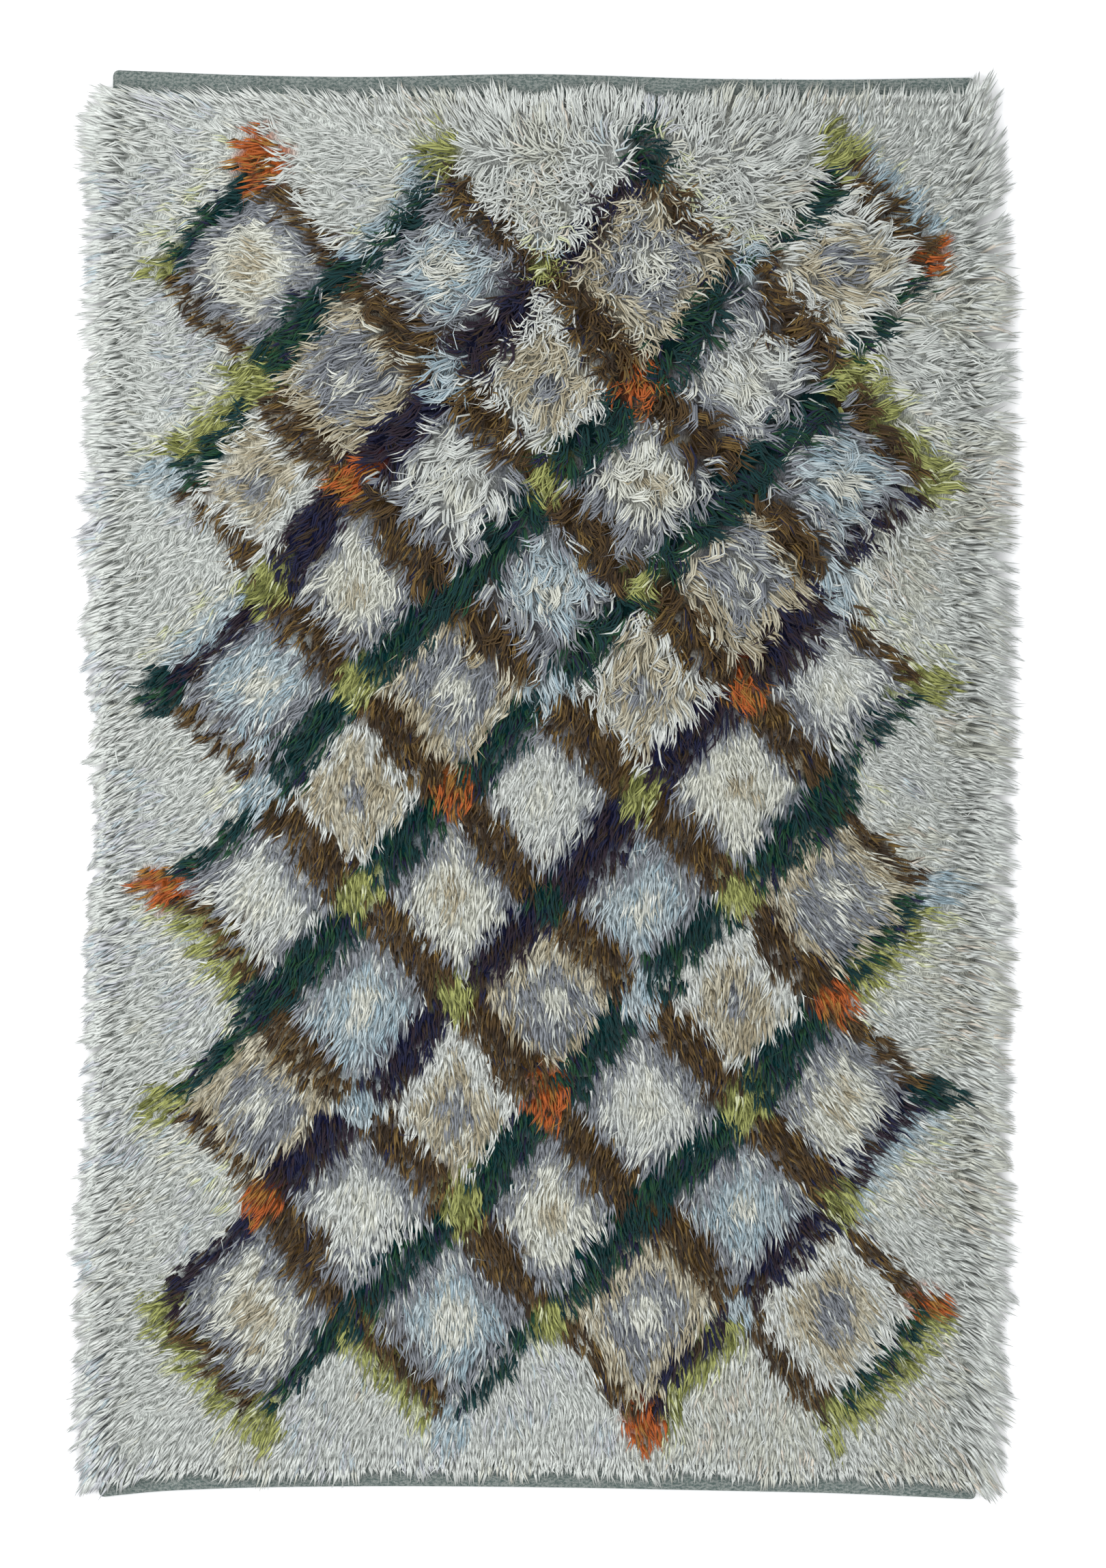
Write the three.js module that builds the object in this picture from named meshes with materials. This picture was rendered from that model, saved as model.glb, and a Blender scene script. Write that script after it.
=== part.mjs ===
import * as THREE from 'three';

// A long-pile knotted wool rug, lying flat.
// Millimetres. X runs across the rug, Y along it to its far end, Z up from the floor.
// The origin is on the floor, under the middle of the rug's outline.

// The ground weave: a firm flat-woven wool cloth whose two ends are turned under once as hems.
const CLOTH_THICKNESS = 2.6;
const HEM_DEPTH = 32;
const HEM_GAP = 0.4;
const HEM_RAMP = 10;
const HEM_TOP = 2 * CLOTH_THICKNESS + HEM_GAP;
const FOLD_RADIUS = HEM_TOP / 2;
const FOLD_STEPS = 6;
const CORNER_RADIUS = 8;
const CLOTH_COLUMNS = 26;
const CORNER_STEPS = [0, 0.08, 0.3, 0.62];

// The straight selvedges, at the far and the near end of the cloth.
const SELVEDGES = [
  { along: -1045, left: -658, right: 626 },
  { along: 1045, left: -637, right: 624 },
];

// Where the hem folds run. Across goes from the left selvedge, 0, to the right one, 1.
const HEM_FOLDS = [
  { across: 0.0, far: 1046, near: -1044 },
  { across: 0.06, far: 1043, near: -1036 },
  { across: 0.14, far: 1039, near: -1031 },
  { across: 0.28, far: 1036, near: -1028 },
  { across: 0.49, far: 1040, near: -1029 },
  { across: 0.7, far: 1033, near: -1034 },
  { across: 0.84, far: 1032, near: -1038 },
  { across: 1.0, far: 1035, near: -1047 },
];

// The pile: wool locks knotted through the cloth, matted into one lumpy slab.
// Where the tips of its outermost locks lie beside the long sides.
const PILE_SIDES = [
  { along: -1000, left: -688, right: 672 },
  { along: -820, left: -693, right: 673 },
  { along: -640, left: -689, right: 675 },
  { along: -476, left: -673, right: 676 },
  { along: -246, left: -675, right: 685 },
  { along: -131, left: -661, right: 680 },
  { along: 99, left: -666, right: 686 },
  { along: 400, left: -676, right: 692 },
  { along: 789, left: -674, right: 684 },
  { along: 904, left: -682, right: 668 },
  { along: 1000, left: -675, right: 657 },
];
const END_MARGIN_FAR = 12;
const END_MARGIN_NEAR = 15;

const PIECE_GAP = 0.3;
const PILE_UNDERSIDE = CLOTH_THICKNESS + PIECE_GAP;
const PILE_HEIGHT = 26;
const RIM_HEIGHT = 17;
const RIM_LUMPS = 0.35;
const RIM_BAND = 34;
const CORNER_CURVE = 52;

// The lumps on the slab's top, as waves that cross it: their length, their height above the mean,
// their heading in degrees from X, and their phase at the origin in radians.
const LUMPS = [
  { length: 262, height: 2.0, heading: 24, phase: 0.4 },
  { length: 214, height: 1.9, heading: 83, phase: 2.1 },
  { length: 171, height: 1.8, heading: 141, phase: 4.4 },
  { length: 139, height: 1.7, heading: 57, phase: 1.2 },
  { length: 118, height: 1.5, heading: 168, phase: 5.3 },
  { length: 103, height: 1.3, heading: 112, phase: 3.0 },
];

// The slab's grid of cells. Each cell on its rim carries two locks.
const CELLS_ACROSS = 30;
const CELLS_ALONG = 44;

// One lock: four-sided, arched from its root in the slab's wall down to its tip.
const LOCK_REACH = 40;
const LOCK_SHORTEST = 0.72;
const LOCK_LONGEST = 1.04;
const LOCK_LEAN = 0.75;
const STEEPEST_LEAN = 0.75;
const LOCK_BEND_AT = 0.55;
const LOCK_BEND_WIDTH = 0.62;
const LOCK_BEND_DEPTH = 7.5;
const LOCK_ARCH = 5;
const TIP_ON_FLOOR = 1;
const TIP_ON_CLOTH = 0.8;
const SELVEDGE_CLEARANCE = 8;

// Which way the pile lies, in parts of a pull outwards, towards the near end and over each end.
const LAY_HALF_WIDTH = 680;
const LAY_HALF_LENGTH = 1040;
const LAY_OUTWARDS = 1.2;
const LAY_NEARWARDS = { least: 0.1, more: 0.55, from: 0.45, over: 1 };
const LAY_NEAR_END = { pull: 1.3, from: 0.86 };
const LAY_FAR_END = { pull: 1.6, from: 0.9 };

const { lerp, smoothstep, degToRad } = THREE.MathUtils;

// A smooth curve through one column of a table.
function curveThrough(rows, position, column) {
  const curve = new THREE.CubicInterpolant(
    rows.map((row) => row[position]),
    rows.map((row) => row[column]),
    1,
  );
  return (at) => curve.evaluate(at)[0];
}

const selvedgeLeft = curveThrough(SELVEDGES, 'along', 'left');
const selvedgeRight = curveThrough(SELVEDGES, 'along', 'right');
const foldFar = curveThrough(HEM_FOLDS, 'across', 'far');
const foldNear = curveThrough(HEM_FOLDS, 'across', 'near');
const pileLeft = curveThrough(PILE_SIDES, 'along', 'left');
const pileRight = curveThrough(PILE_SIDES, 'along', 'right');

// How far across the cloth a point is, from 0 at the left selvedge to 1 at the right one.
function shareAcross(x, y) {
  return (x - selvedgeLeft(y)) / (selvedgeRight(y) - selvedgeLeft(y));
}

// A closed mesh from its vertices and triangles, turned so that its faces point out.
function closedGeometry(points, triangles) {
  const corner = (index) => new THREE.Vector3(...points[index]);
  const volume = triangles.reduce(
    (sum, [a, b, c]) => sum + corner(a).dot(corner(b).cross(corner(c))),
    0,
  );
  const outward = volume > 0 ? triangles : triangles.map(([a, b, c]) => [a, c, b]);
  const geometry = new THREE.BufferGeometry();
  geometry.setAttribute('position', new THREE.Float32BufferAttribute(points.flat(), 3));
  geometry.setIndex(outward.flat());
  geometry.computeVertexNormals();
  return geometry;
}

// The triangles of a flat polygon, as places in its list of corners.
function polygonTriangles(corners) {
  return THREE.ShapeUtils.triangulateShape(
    corners.map(([u, v]) => new THREE.Vector2(u, v)),
    [],
  );
}

// Half of the cloth's lengthwise section: body, ramp, upper layer, fold and turned-under layer.
// Inset is measured from the fold towards the middle of the rug.
function hemSection() {
  const fold = Array.from({ length: FOLD_STEPS + 1 }, (_, step) => {
    const turn = (Math.PI * step) / FOLD_STEPS;
    return {
      inset: FOLD_RADIUS * (1 - Math.sin(turn)),
      z: FOLD_RADIUS * (1 + Math.cos(turn)),
    };
  });
  return [
    { inset: HEM_DEPTH + HEM_RAMP, z: CLOTH_THICKNESS },
    { inset: HEM_DEPTH, z: HEM_TOP },
    ...fold,
    { inset: HEM_DEPTH, z: 0 },
    { inset: HEM_DEPTH, z: CLOTH_THICKNESS },
    { inset: FOLD_RADIUS, z: CLOTH_THICKNESS },
    { inset: FOLD_RADIUS - HEM_GAP / 2, z: FOLD_RADIUS },
    { inset: FOLD_RADIUS, z: HEM_TOP - CLOTH_THICKNESS },
    { inset: HEM_DEPTH, z: HEM_TOP - CLOTH_THICKNESS },
    { inset: HEM_DEPTH + HEM_RAMP, z: 0 },
  ];
}

// The shares across the cloth at which it is cut into columns, close together at its corners.
function columnShares(width) {
  const corner = CORNER_STEPS.map((step) => (step * CORNER_RADIUS) / width);
  const middle = Array.from(
    { length: CLOTH_COLUMNS + 1 },
    (_, column) => lerp(CORNER_RADIUS / width, 1 - CORNER_RADIUS / width, column / CLOTH_COLUMNS),
  );
  return [...corner, ...middle, ...corner.map((share) => 1 - share).reverse()];
}

// The ground weave, as its lengthwise section carried across from selvedge to selvedge.
function groundWeaveGeometry() {
  const section = hemSection();
  const width = selvedgeRight(0) - selvedgeLeft(0);
  const columns = columnShares(width).map((share) => {
    const edge = Math.max(CORNER_RADIUS - Math.min(share, 1 - share) * width, 0);
    const rounding = CORNER_RADIUS - Math.sqrt(CORNER_RADIUS ** 2 - edge ** 2);
    const near = section.map(({ inset, z }) => [foldNear(share) + rounding + inset, z]);
    const far = section.map(({ inset, z }) => [foldFar(share) - rounding - inset, z]);
    return { share, outline: [...near, ...far.reverse()] };
  });
  const ring = columns[0].outline.length;
  const points = columns.flatMap(({ share, outline }) =>
    outline.map(([y, z]) => [lerp(selvedgeLeft(y), selvedgeRight(y), share), y, z]),
  );
  const triangles = [];
  for (let column = 0; column + 1 < columns.length; column += 1) {
    for (let place = 0; place < ring; place += 1) {
      const next = (place + 1) % ring;
      const a = column * ring + place;
      const b = column * ring + next;
      triangles.push([a, b, b + ring], [a, b + ring, a + ring]);
    }
  }
  const last = (columns.length - 1) * ring;
  for (const [a, b, c] of polygonTriangles(columns[0].outline)) triangles.push([c, b, a]);
  for (const [a, b, c] of polygonTriangles(columns.at(-1).outline)) {
    triangles.push([last + a, last + b, last + c]);
  }
  return closedGeometry(points, triangles);
}

// A place in the pile's plan: shares across and along, pulled in from the tips' outline by inset.
function planPoint(across, along, inset) {
  const roughY = lerp(foldNear(0.5), foldFar(0.5), along);
  const x = lerp(pileLeft(roughY) + inset, pileRight(roughY) - inset, across);
  const share = THREE.MathUtils.clamp(shareAcross(x, roughY), 0, 1);
  const near = foldNear(share) + END_MARGIN_NEAR + inset;
  const far = foldFar(share) - END_MARGIN_FAR - inset;
  return new THREE.Vector2(x, lerp(near, far, along));
}

// A point on the slab's rim, with the rectangle's corners rounded to CORNER_CURVE.
// A point within that distance of a corner moves onto the arc, by its share of the distance.
function rimPoint(across, along) {
  const width = pileRight(0) - pileLeft(0) - 2 * LOCK_REACH;
  const length = foldFar(0.5) - foldNear(0.5) - 2 * LOCK_REACH;
  const fromSide = Math.min(across, 1 - across) * width;
  const fromEnd = Math.min(along, 1 - along) * length;
  const distance = Math.max(fromSide, fromEnd);
  if (distance >= CORNER_CURVE) return planPoint(across, along, LOCK_REACH);
  const turn = (Math.PI / 4) * (1 - distance / CORNER_CURVE);
  const small = CORNER_CURVE * (1 - Math.cos(turn));
  const large = CORNER_CURVE * (1 - Math.sin(turn));
  const [side, end] = fromSide < fromEnd ? [small, large] : [large, small];
  const roundedAcross = across < 0.5 ? side / width : 1 - side / width;
  const roundedAlong = along < 0.5 ? end / length : 1 - end / length;
  return planPoint(roundedAcross, roundedAlong, LOCK_REACH);
}

// The shares across and along of every step round the rim, anticlockwise from the near left corner.
function rimShares(stepsAcross, stepsAlong) {
  const across = Array.from({ length: stepsAcross }, (_, step) => step / stepsAcross);
  const along = Array.from({ length: stepsAlong }, (_, step) => step / stepsAlong);
  return [
    ...across.map((share) => [share, 0]),
    ...along.map((share) => [1, share]),
    ...across.map((share) => [1 - share, 1]),
    ...along.map((share) => [0, 1 - share]),
  ];
}

// How far the lumps raise or lower the slab's top: the sum of height * sin(path / length + phase).
function lumpHeight(x, y) {
  return LUMPS.reduce((sum, { length, height, heading, phase }) => {
    const path = x * Math.cos(degToRad(heading)) + y * Math.sin(degToRad(heading));
    return sum + height * Math.sin((2 * Math.PI * path) / length + phase);
  }, 0);
}

// Which way the pile lies: out to the nearer side, and towards the near end in the near half.
function pileLay(x, y) {
  const { least, more, from, over } = LAY_NEARWARDS;
  const along = y / LAY_HALF_LENGTH;
  const outwards = (LAY_OUTWARDS * x) / LAY_HALF_WIDTH;
  const nearwards = least + more * smoothstep(from - along, 0, over);
  const overNearEnd = LAY_NEAR_END.pull * smoothstep(-along, LAY_NEAR_END.from, 1);
  const overFarEnd = LAY_FAR_END.pull * smoothstep(along, LAY_FAR_END.from, 1);
  return new THREE.Vector2(outwards, overFarEnd - nearwards - overNearEnd).normalize();
}

// The lowest level at which a lock can lie: on the hem, on the cloth, or on the floor beside it.
function restHeight(x, y) {
  const share = shareAcross(x, y);
  const margin = SELVEDGE_CLEARANCE / (selvedgeRight(y) - selvedgeLeft(y));
  const inFar = foldFar(share) - y;
  const inNear = y - foldNear(share);
  const beside = share < -margin || share > 1 + margin;
  if (beside || Math.min(inFar, inNear) < -SELVEDGE_CLEARANCE) return TIP_ON_FLOOR;
  const onHem = Math.min(inFar, inNear) < HEM_DEPTH + HEM_RAMP;
  return (onHem ? HEM_TOP : CLOTH_THICKNESS) + TIP_ON_CLOTH;
}

// A number from 0 to 1 that differs from lock to lock and is the same each time.
function lockChance(place) {
  const golden = (Math.sqrt(5) - 1) / 2;
  const turned = place * place * golden;
  return turned - Math.floor(turned);
}

// One lock, grown from the wall between two rim corners: its four bend corners and its tip.
function lockPoints(start, end, place) {
  const middle = start.clone().add(end).multiplyScalar(0.5);
  const side = end.clone().sub(start);
  const outward = new THREE.Vector2(side.y, -side.x).normalize();
  const lean = pileLay(middle.x, middle.y).multiplyScalar(LOCK_LEAN);
  const heading = outward.clone().add(lean).normalize();
  const reach = LOCK_REACH * lerp(LOCK_SHORTEST, LOCK_LONGEST, lockChance(place));
  const length = reach / Math.max(heading.dot(outward), STEEPEST_LEAN);
  const bend = middle.clone().addScaledVector(heading, length * LOCK_BEND_AT);
  const tip = middle.clone().addScaledVector(heading, length);
  const bendStart = bend.clone().addScaledVector(side, -LOCK_BEND_WIDTH / 2);
  const bendEnd = bend.clone().addScaledVector(side, LOCK_BEND_WIDTH / 2);
  const under = restHeight(bend.x, bend.y) + LOCK_ARCH;
  const over = under + LOCK_BEND_DEPTH;
  return [
    [bendStart.x, bendStart.y, under],
    [bendEnd.x, bendEnd.y, under],
    [bendEnd.x, bendEnd.y, over],
    [bendStart.x, bendStart.y, over],
    [tip.x, tip.y, restHeight(tip.x, tip.y)],
  ];
}

// The pile: a lumpy top, a flat underside, and a wall whose every face grows into a lock.
function pileGeometry() {
  const points = [];
  const triangles = [];
  const quad = (a, b, c, d) => triangles.push([a, b, c], [a, c, d]);

  const rows = CELLS_ALONG + 1;
  const columns = CELLS_ACROSS + 1;
  for (let row = 0; row < rows; row += 1) {
    for (let column = 0; column < columns; column += 1) {
      const { x, y } = planPoint(column / CELLS_ACROSS, row / CELLS_ALONG, LOCK_REACH + RIM_BAND);
      points.push([x, y, PILE_HEIGHT + lumpHeight(x, y)]);
    }
  }
  for (let row = 0; row < CELLS_ALONG; row += 1) {
    for (let column = 0; column < CELLS_ACROSS; column += 1) {
      const corner = row * columns + column;
      quad(corner, corner + 1, corner + columns + 1, corner + columns);
    }
  }

  const rim = rimShares(2 * CELLS_ACROSS, 2 * CELLS_ALONG).map(([s, t]) => rimPoint(s, t));
  const upper = points.length;
  for (const { x, y } of rim) points.push([x, y, RIM_HEIGHT + RIM_LUMPS * lumpHeight(x, y)]);
  const lower = points.length;
  for (const { x, y } of rim) points.push([x, y, PILE_UNDERSIDE]);

  const gridRim = rimShares(CELLS_ACROSS, CELLS_ALONG).map(
    ([s, t]) => Math.round(t * CELLS_ALONG) * columns + Math.round(s * CELLS_ACROSS),
  );
  gridRim.forEach((inner, place) => {
    const nextInner = gridRim[(place + 1) % gridRim.length];
    const first = upper + 2 * place;
    const middle = first + 1;
    const last = upper + ((2 * place + 2) % rim.length);
    triangles.push([inner, first, middle], [inner, middle, nextInner], [nextInner, middle, last]);
  });
  for (const [a, b, c] of polygonTriangles(rim.map(({ x, y }) => [x, y]))) {
    triangles.push([lower + a, lower + c, lower + b]);
  }

  rim.forEach((start, place) => {
    const next = (place + 1) % rim.length;
    const root = [lower + place, lower + next, upper + next, upper + place];
    const bend = [0, 1, 2, 3].map((corner) => points.length + corner);
    const tip = points.length + 4;
    points.push(...lockPoints(start, rim[next], place));
    for (let corner = 0; corner < 4; corner += 1) {
      const after = (corner + 1) % 4;
      quad(root[corner], root[after], bend[after], bend[corner]);
      triangles.push([bend[corner], bend[after], tip]);
    }
  });
  return closedGeometry(points, triangles);
}

const groundWeave = new THREE.Mesh(
  groundWeaveGeometry(),
  new THREE.MeshStandardMaterial({ color: 0x5f6e6e, roughness: 0.95, metalness: 0 }),
);
groundWeave.name = 'ground_weave';

const pile = new THREE.Mesh(
  pileGeometry(),
  new THREE.MeshStandardMaterial({ color: 0xaeb2b1, roughness: 1, metalness: 0 }),
);
pile.name = 'pile';

// The rug is moved as a whole, so that its outline's middle is at the origin.
const rug = new THREE.Group();
rug.add(groundWeave, pile);
const middle = new THREE.Box3().setFromObject(rug, true).getCenter(new THREE.Vector3());
rug.position.set(-middle.x, -middle.y, 0);

export default rug;
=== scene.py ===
"""The looks of a long-pile knotted wool rug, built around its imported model.

Lengths in the classes are millimetres in the frame's own axes: X across the rug, Y along it to its far
end, Z up from the floor. They become metres where a mesh is made.
"""

import logging
import math
from dataclasses import dataclass, field
from enum import Enum

import bpy
import numpy as np
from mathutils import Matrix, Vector


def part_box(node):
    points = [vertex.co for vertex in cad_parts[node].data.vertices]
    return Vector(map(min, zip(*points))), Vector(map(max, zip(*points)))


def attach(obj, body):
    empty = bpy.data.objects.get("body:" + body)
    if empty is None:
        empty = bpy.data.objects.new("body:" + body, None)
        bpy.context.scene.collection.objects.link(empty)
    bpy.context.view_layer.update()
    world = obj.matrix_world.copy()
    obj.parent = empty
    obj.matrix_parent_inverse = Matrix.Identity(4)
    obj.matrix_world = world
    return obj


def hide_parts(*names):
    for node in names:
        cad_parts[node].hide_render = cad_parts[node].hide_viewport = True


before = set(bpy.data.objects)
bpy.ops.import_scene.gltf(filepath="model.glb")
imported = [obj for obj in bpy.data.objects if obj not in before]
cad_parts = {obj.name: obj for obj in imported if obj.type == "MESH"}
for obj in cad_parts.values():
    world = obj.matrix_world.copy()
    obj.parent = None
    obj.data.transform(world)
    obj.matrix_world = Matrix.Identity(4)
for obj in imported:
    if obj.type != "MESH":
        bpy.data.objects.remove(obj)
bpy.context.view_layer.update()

log = logging.getLogger("rug")

MM = 0.001
BODY = "root"
LATTICE = 256
ROW_PITCH = 18.5
KNOT_PITCH = 9.3

PHOTO_WIDTH_PX = 1620
PHOTO_HEIGHT_PX = 2296
RUG_MIDDLE_PX = (803.5, 1149.0)
MM_PER_PX = 1.0


@dataclass(frozen=True)
class Rise:
    """A smooth rise from 0 at low to 1 at high."""

    low: float
    high: float

    def __call__(self, at: np.ndarray) -> np.ndarray:
        """t * t * (3 - 2 * t) at each position, with t the share of the way from low to high."""
        t = np.clip((at - self.low) / (self.high - self.low), 0.0, 1.0)
        return t * t * (3.0 - 2.0 * t)


def linear_colour(red: int, green: int, blue: int) -> tuple[float, float, float]:
    """Turns a screen colour of three bytes into linear light: each byte / 255 raised to 2.2."""
    return tuple((byte / 255.0) ** 2.2 for byte in (red, green, blue))


@dataclass(frozen=True)
class Curve:
    """A smooth curve through a short table of (position, value) rows, in millimetres."""

    rows: tuple[tuple[float, float], ...]

    def __call__(self, at: np.ndarray) -> np.ndarray:
        """Reads the curve by cubic Hermite steps between the rows.

        Args:
            at: Positions; beyond the table the end value holds.

        Returns:
            The value at each position.
        """
        places, values = np.array(self.rows, float).T
        slopes = np.gradient(values, places)
        step = np.clip(np.searchsorted(places, at) - 1, 0, len(places) - 2)
        span = places[step + 1] - places[step]
        t = np.clip((at - places[step]) / span, 0.0, 1.0)
        start, end = values[step], values[step + 1]
        rise = (start - end) * (2 * t**3 - 3 * t**2) + start
        return rise + span * (slopes[step] * (t**3 - 2 * t**2 + t) + slopes[step + 1] * (t**3 - t**2))


@dataclass(frozen=True)
class Ripple:
    """Smooth random unevenness, the same each run."""

    size: float
    seed: int

    def __call__(self, x: np.ndarray, y: np.ndarray) -> np.ndarray:
        """Blends random numbers on a square lattice of this size.

        Args:
            x: Places across.
            y: Places along.

        Returns:
            Values from -1 to 1, smooth over a distance of about size.
        """
        lattice = np.random.default_rng(self.seed).uniform(-1.0, 1.0, (LATTICE, LATTICE))
        u, v = x / self.size, y / self.size
        column, row = np.floor(u).astype(int), np.floor(v).astype(int)
        ease = Rise(0.0, 1.0)
        s, t = ease(u - column), ease(v - row)

        def corner(step_across: int, step_along: int) -> np.ndarray:
            """The lattice's number at one corner of each cell."""
            return lattice[(column + step_across) % LATTICE, (row + step_along) % LATTICE]

        near = corner(0, 0) * (1 - s) + corner(1, 0) * s
        far = corner(0, 1) * (1 - s) + corner(1, 1) * s
        return near * (1 - t) + far * t


@dataclass
class Plan:
    """Where the cloth's edges and the pile's tips lie, seen from above.

    The tables are about the middle of the cloth's own drawing, and shift takes them into the frame.
    """

    shift: np.ndarray = field(default_factory=lambda: np.zeros(2))
    selvedge_left: Curve = Curve(((-1045, -658), (1045, -637)))
    selvedge_right: Curve = Curve(((-1045, 626), (1045, 624)))
    fold_far: Curve = Curve(
        (
            (0, 1046), (0.06, 1043), (0.14, 1039), (0.28, 1036), (0.49, 1040), (0.7, 1033), (0.84, 1032),
            (1, 1035),
        )
    )
    fold_near: Curve = Curve(
        (
            (0, -1044), (0.06, -1036), (0.14, -1031), (0.28, -1028), (0.49, -1029), (0.7, -1034),
            (0.84, -1038), (1, -1047),
        )
    )
    tips_left: Curve = Curve(
        (
            (-1000, -688), (-820, -693), (-640, -689), (-476, -673), (-246, -675), (-131, -661),
            (99, -666), (400, -676), (789, -674), (904, -682), (1000, -675),
        )
    )
    tips_right: Curve = Curve(
        (
            (-1000, 672), (-820, 673), (-640, 675), (-476, 676), (-246, 685), (-131, 680),
            (99, 686), (400, 692), (789, 684), (904, 670), (1000, 662),
        )
    )
    bare_far: Curve = Curve(
        (
            (0, 9), (0.05, 20), (0.08, 24), (0.13, 23), (0.17, 10), (0.21, 7), (0.26, 14), (0.29, 18),
            (0.33, 5), (0.37, 17), (0.41, 22), (0.45, 12), (0.49, 21), (0.53, 13), (0.57, 8), (0.61, 15),
            (0.65, 22), (0.69, 12), (0.73, 4), (0.77, 13), (0.81, 11), (0.85, 5), (0.89, 4), (0.93, 8),
            (0.97, 2), (1, -7),
        )
    )
    bare_near: Curve = Curve(
        (
            (0, 9), (0.05, 16), (0.1, 20), (0.14, 10), (0.18, 6), (0.22, 5), (0.26, 9), (0.3, 14),
            (0.37, 18), (0.42, 16), (0.5, 13), (0.57, 17), (0.62, 14), (0.68, 19), (0.72, 13), (0.76, 10),
            (0.82, 15), (0.88, 16), (0.93, 18), (0.97, 14), (1, 4),
        )
    )

    def share_across(self, x: np.ndarray, y: np.ndarray) -> np.ndarray:
        """How far across the cloth a place is, 0 at its left selvedge and 1 at its right one."""
        across, along = x - self.shift[0], y - self.shift[1]
        left, right = self.selvedge_left(along), self.selvedge_right(along)
        return (across - left) / (right - left)

    def cloth_sides(self, y: np.ndarray) -> tuple[np.ndarray, np.ndarray]:
        """The selvedges' X at places along the rug."""
        along = y - self.shift[1]
        return self.selvedge_left(along) + self.shift[0], self.selvedge_right(along) + self.shift[0]

    def cloth_ends(self, share: np.ndarray) -> tuple[np.ndarray, np.ndarray]:
        """The near and the far hem fold's Y at shares across the cloth."""
        return self.fold_near(share) + self.shift[1], self.fold_far(share) + self.shift[1]

    def tip_sides(self, y: np.ndarray) -> tuple[np.ndarray, np.ndarray]:
        """The X that the pile's outermost tips reach on the left and right."""
        along = y - self.shift[1]
        return self.tips_left(along) + self.shift[0], self.tips_right(along) + self.shift[0]

    def tip_ends(self, x: np.ndarray) -> tuple[np.ndarray, np.ndarray]:
        """The Y that the pile's outermost tips reach at the near and the far end."""
        share = np.clip(self.share_across(x, np.zeros_like(x)), 0.0, 1.0)
        near, far = self.cloth_ends(share)
        return near + self.bare_near(share), far - self.bare_far(share)

    def depth_inside_tips(self, x: np.ndarray, y: np.ndarray) -> np.ndarray:
        """How far inside the outline of the tips a place lies, in millimetres."""
        left, right = self.tip_sides(y)
        near, far = self.tip_ends(x)
        return np.minimum(np.minimum(x - left, right - x), np.minimum(y - near, far - y))


class MeshKit:
    """Makes Blender meshes out of whole numpy arrays."""

    @staticmethod
    def build(name: str, points: np.ndarray, corners: np.ndarray, sizes: np.ndarray) -> bpy.types.Object:
        """Makes one smooth-shaded mesh object from points in millimetres.

        Args:
            name: The piece's name.
            points: Places, one row each.
            corners: The faces' point numbers, face after face.
            sizes: How many corners each face has.

        Returns:
            The object, at the origin, with its place in its mesh.
        """
        mesh = bpy.data.meshes.new(name)
        mesh.vertices.add(len(points))
        mesh.vertices.foreach_set("co", (points * MM).astype(np.float32).ravel())
        mesh.loops.add(len(corners))
        mesh.loops.foreach_set("vertex_index", corners.astype(np.int32))
        mesh.polygons.add(len(sizes))
        starts = np.concatenate(([0], np.cumsum(sizes)[:-1]))
        mesh.polygons.foreach_set("loop_start", starts.astype(np.int32))
        mesh.polygons.foreach_set("use_smooth", np.ones(len(sizes), bool))
        mesh.update(calc_edges=True)
        piece = bpy.data.objects.new(name, mesh)
        bpy.context.scene.collection.objects.link(piece)
        return piece

    @staticmethod
    def colours(piece: bpy.types.Object, name: str, values: np.ndarray) -> None:
        """Stores one linear colour for each point of a piece, with an alpha of 1 unless it is given."""
        attribute = piece.data.attributes.new(name, "FLOAT_COLOR", "POINT")
        whole = np.ones((len(values), 4), np.float32)
        whole[:, : values.shape[1]] = values
        attribute.data.foreach_set("color", whole.ravel())

    @staticmethod
    def corner_map(piece: bpy.types.Object, name: str, values: np.ndarray) -> None:
        """Stores a UV map, one place for each corner of each face."""
        layer = piece.data.uv_layers.new(name=name)
        layer.uv.foreach_set("vector", values.astype(np.float32).ravel())


def hang(piece: bpy.types.Object, finish: bpy.types.Material, node: str) -> None:
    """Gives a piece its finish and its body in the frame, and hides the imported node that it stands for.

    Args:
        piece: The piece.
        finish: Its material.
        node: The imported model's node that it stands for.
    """
    piece.data.materials.append(finish)
    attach(piece, BODY)
    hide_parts(node)
    log.info("%s: %d faces", piece.name, len(piece.data.polygons))


class Signal:
    """A socket of a material's nodes that takes part in Python sums, which add its Math nodes."""

    def __init__(self, board: "Board", socket: bpy.types.NodeSocket) -> None:
        """Wraps an output socket on a material's board."""
        self.board = board
        self.socket = socket

    def _math(self, operation: str, *values: "Signal | float") -> "Signal":
        """Adds one Math node with these values in its sockets, in order."""
        return self.board.add("ShaderNodeMath", {"operation": operation}, dict(enumerate(values)))

    def __add__(self, other: "Signal | float") -> "Signal":
        """Self plus other."""
        return self._math("ADD", self, other)

    __radd__ = __add__

    def __mul__(self, other: "Signal | float") -> "Signal":
        """Self times other."""
        return self._math("MULTIPLY", self, other)

    __rmul__ = __mul__

    def sine(self) -> "Signal":
        """The sine of self, in radians."""
        return self._math("SINE", self)

    def size(self) -> "Signal":
        """Self without its sign."""
        return self._math("ABSOLUTE", self)

    def between(self, low: float, high: float) -> "Signal":
        """A smooth step from 0 at low to 1 at high."""
        settings = {"interpolation_type": "SMOOTHSTEP"}
        sockets = {"Value": self, "From Min": low, "From Max": high}
        return self.board.add("ShaderNodeMapRange", settings, sockets)


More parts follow.
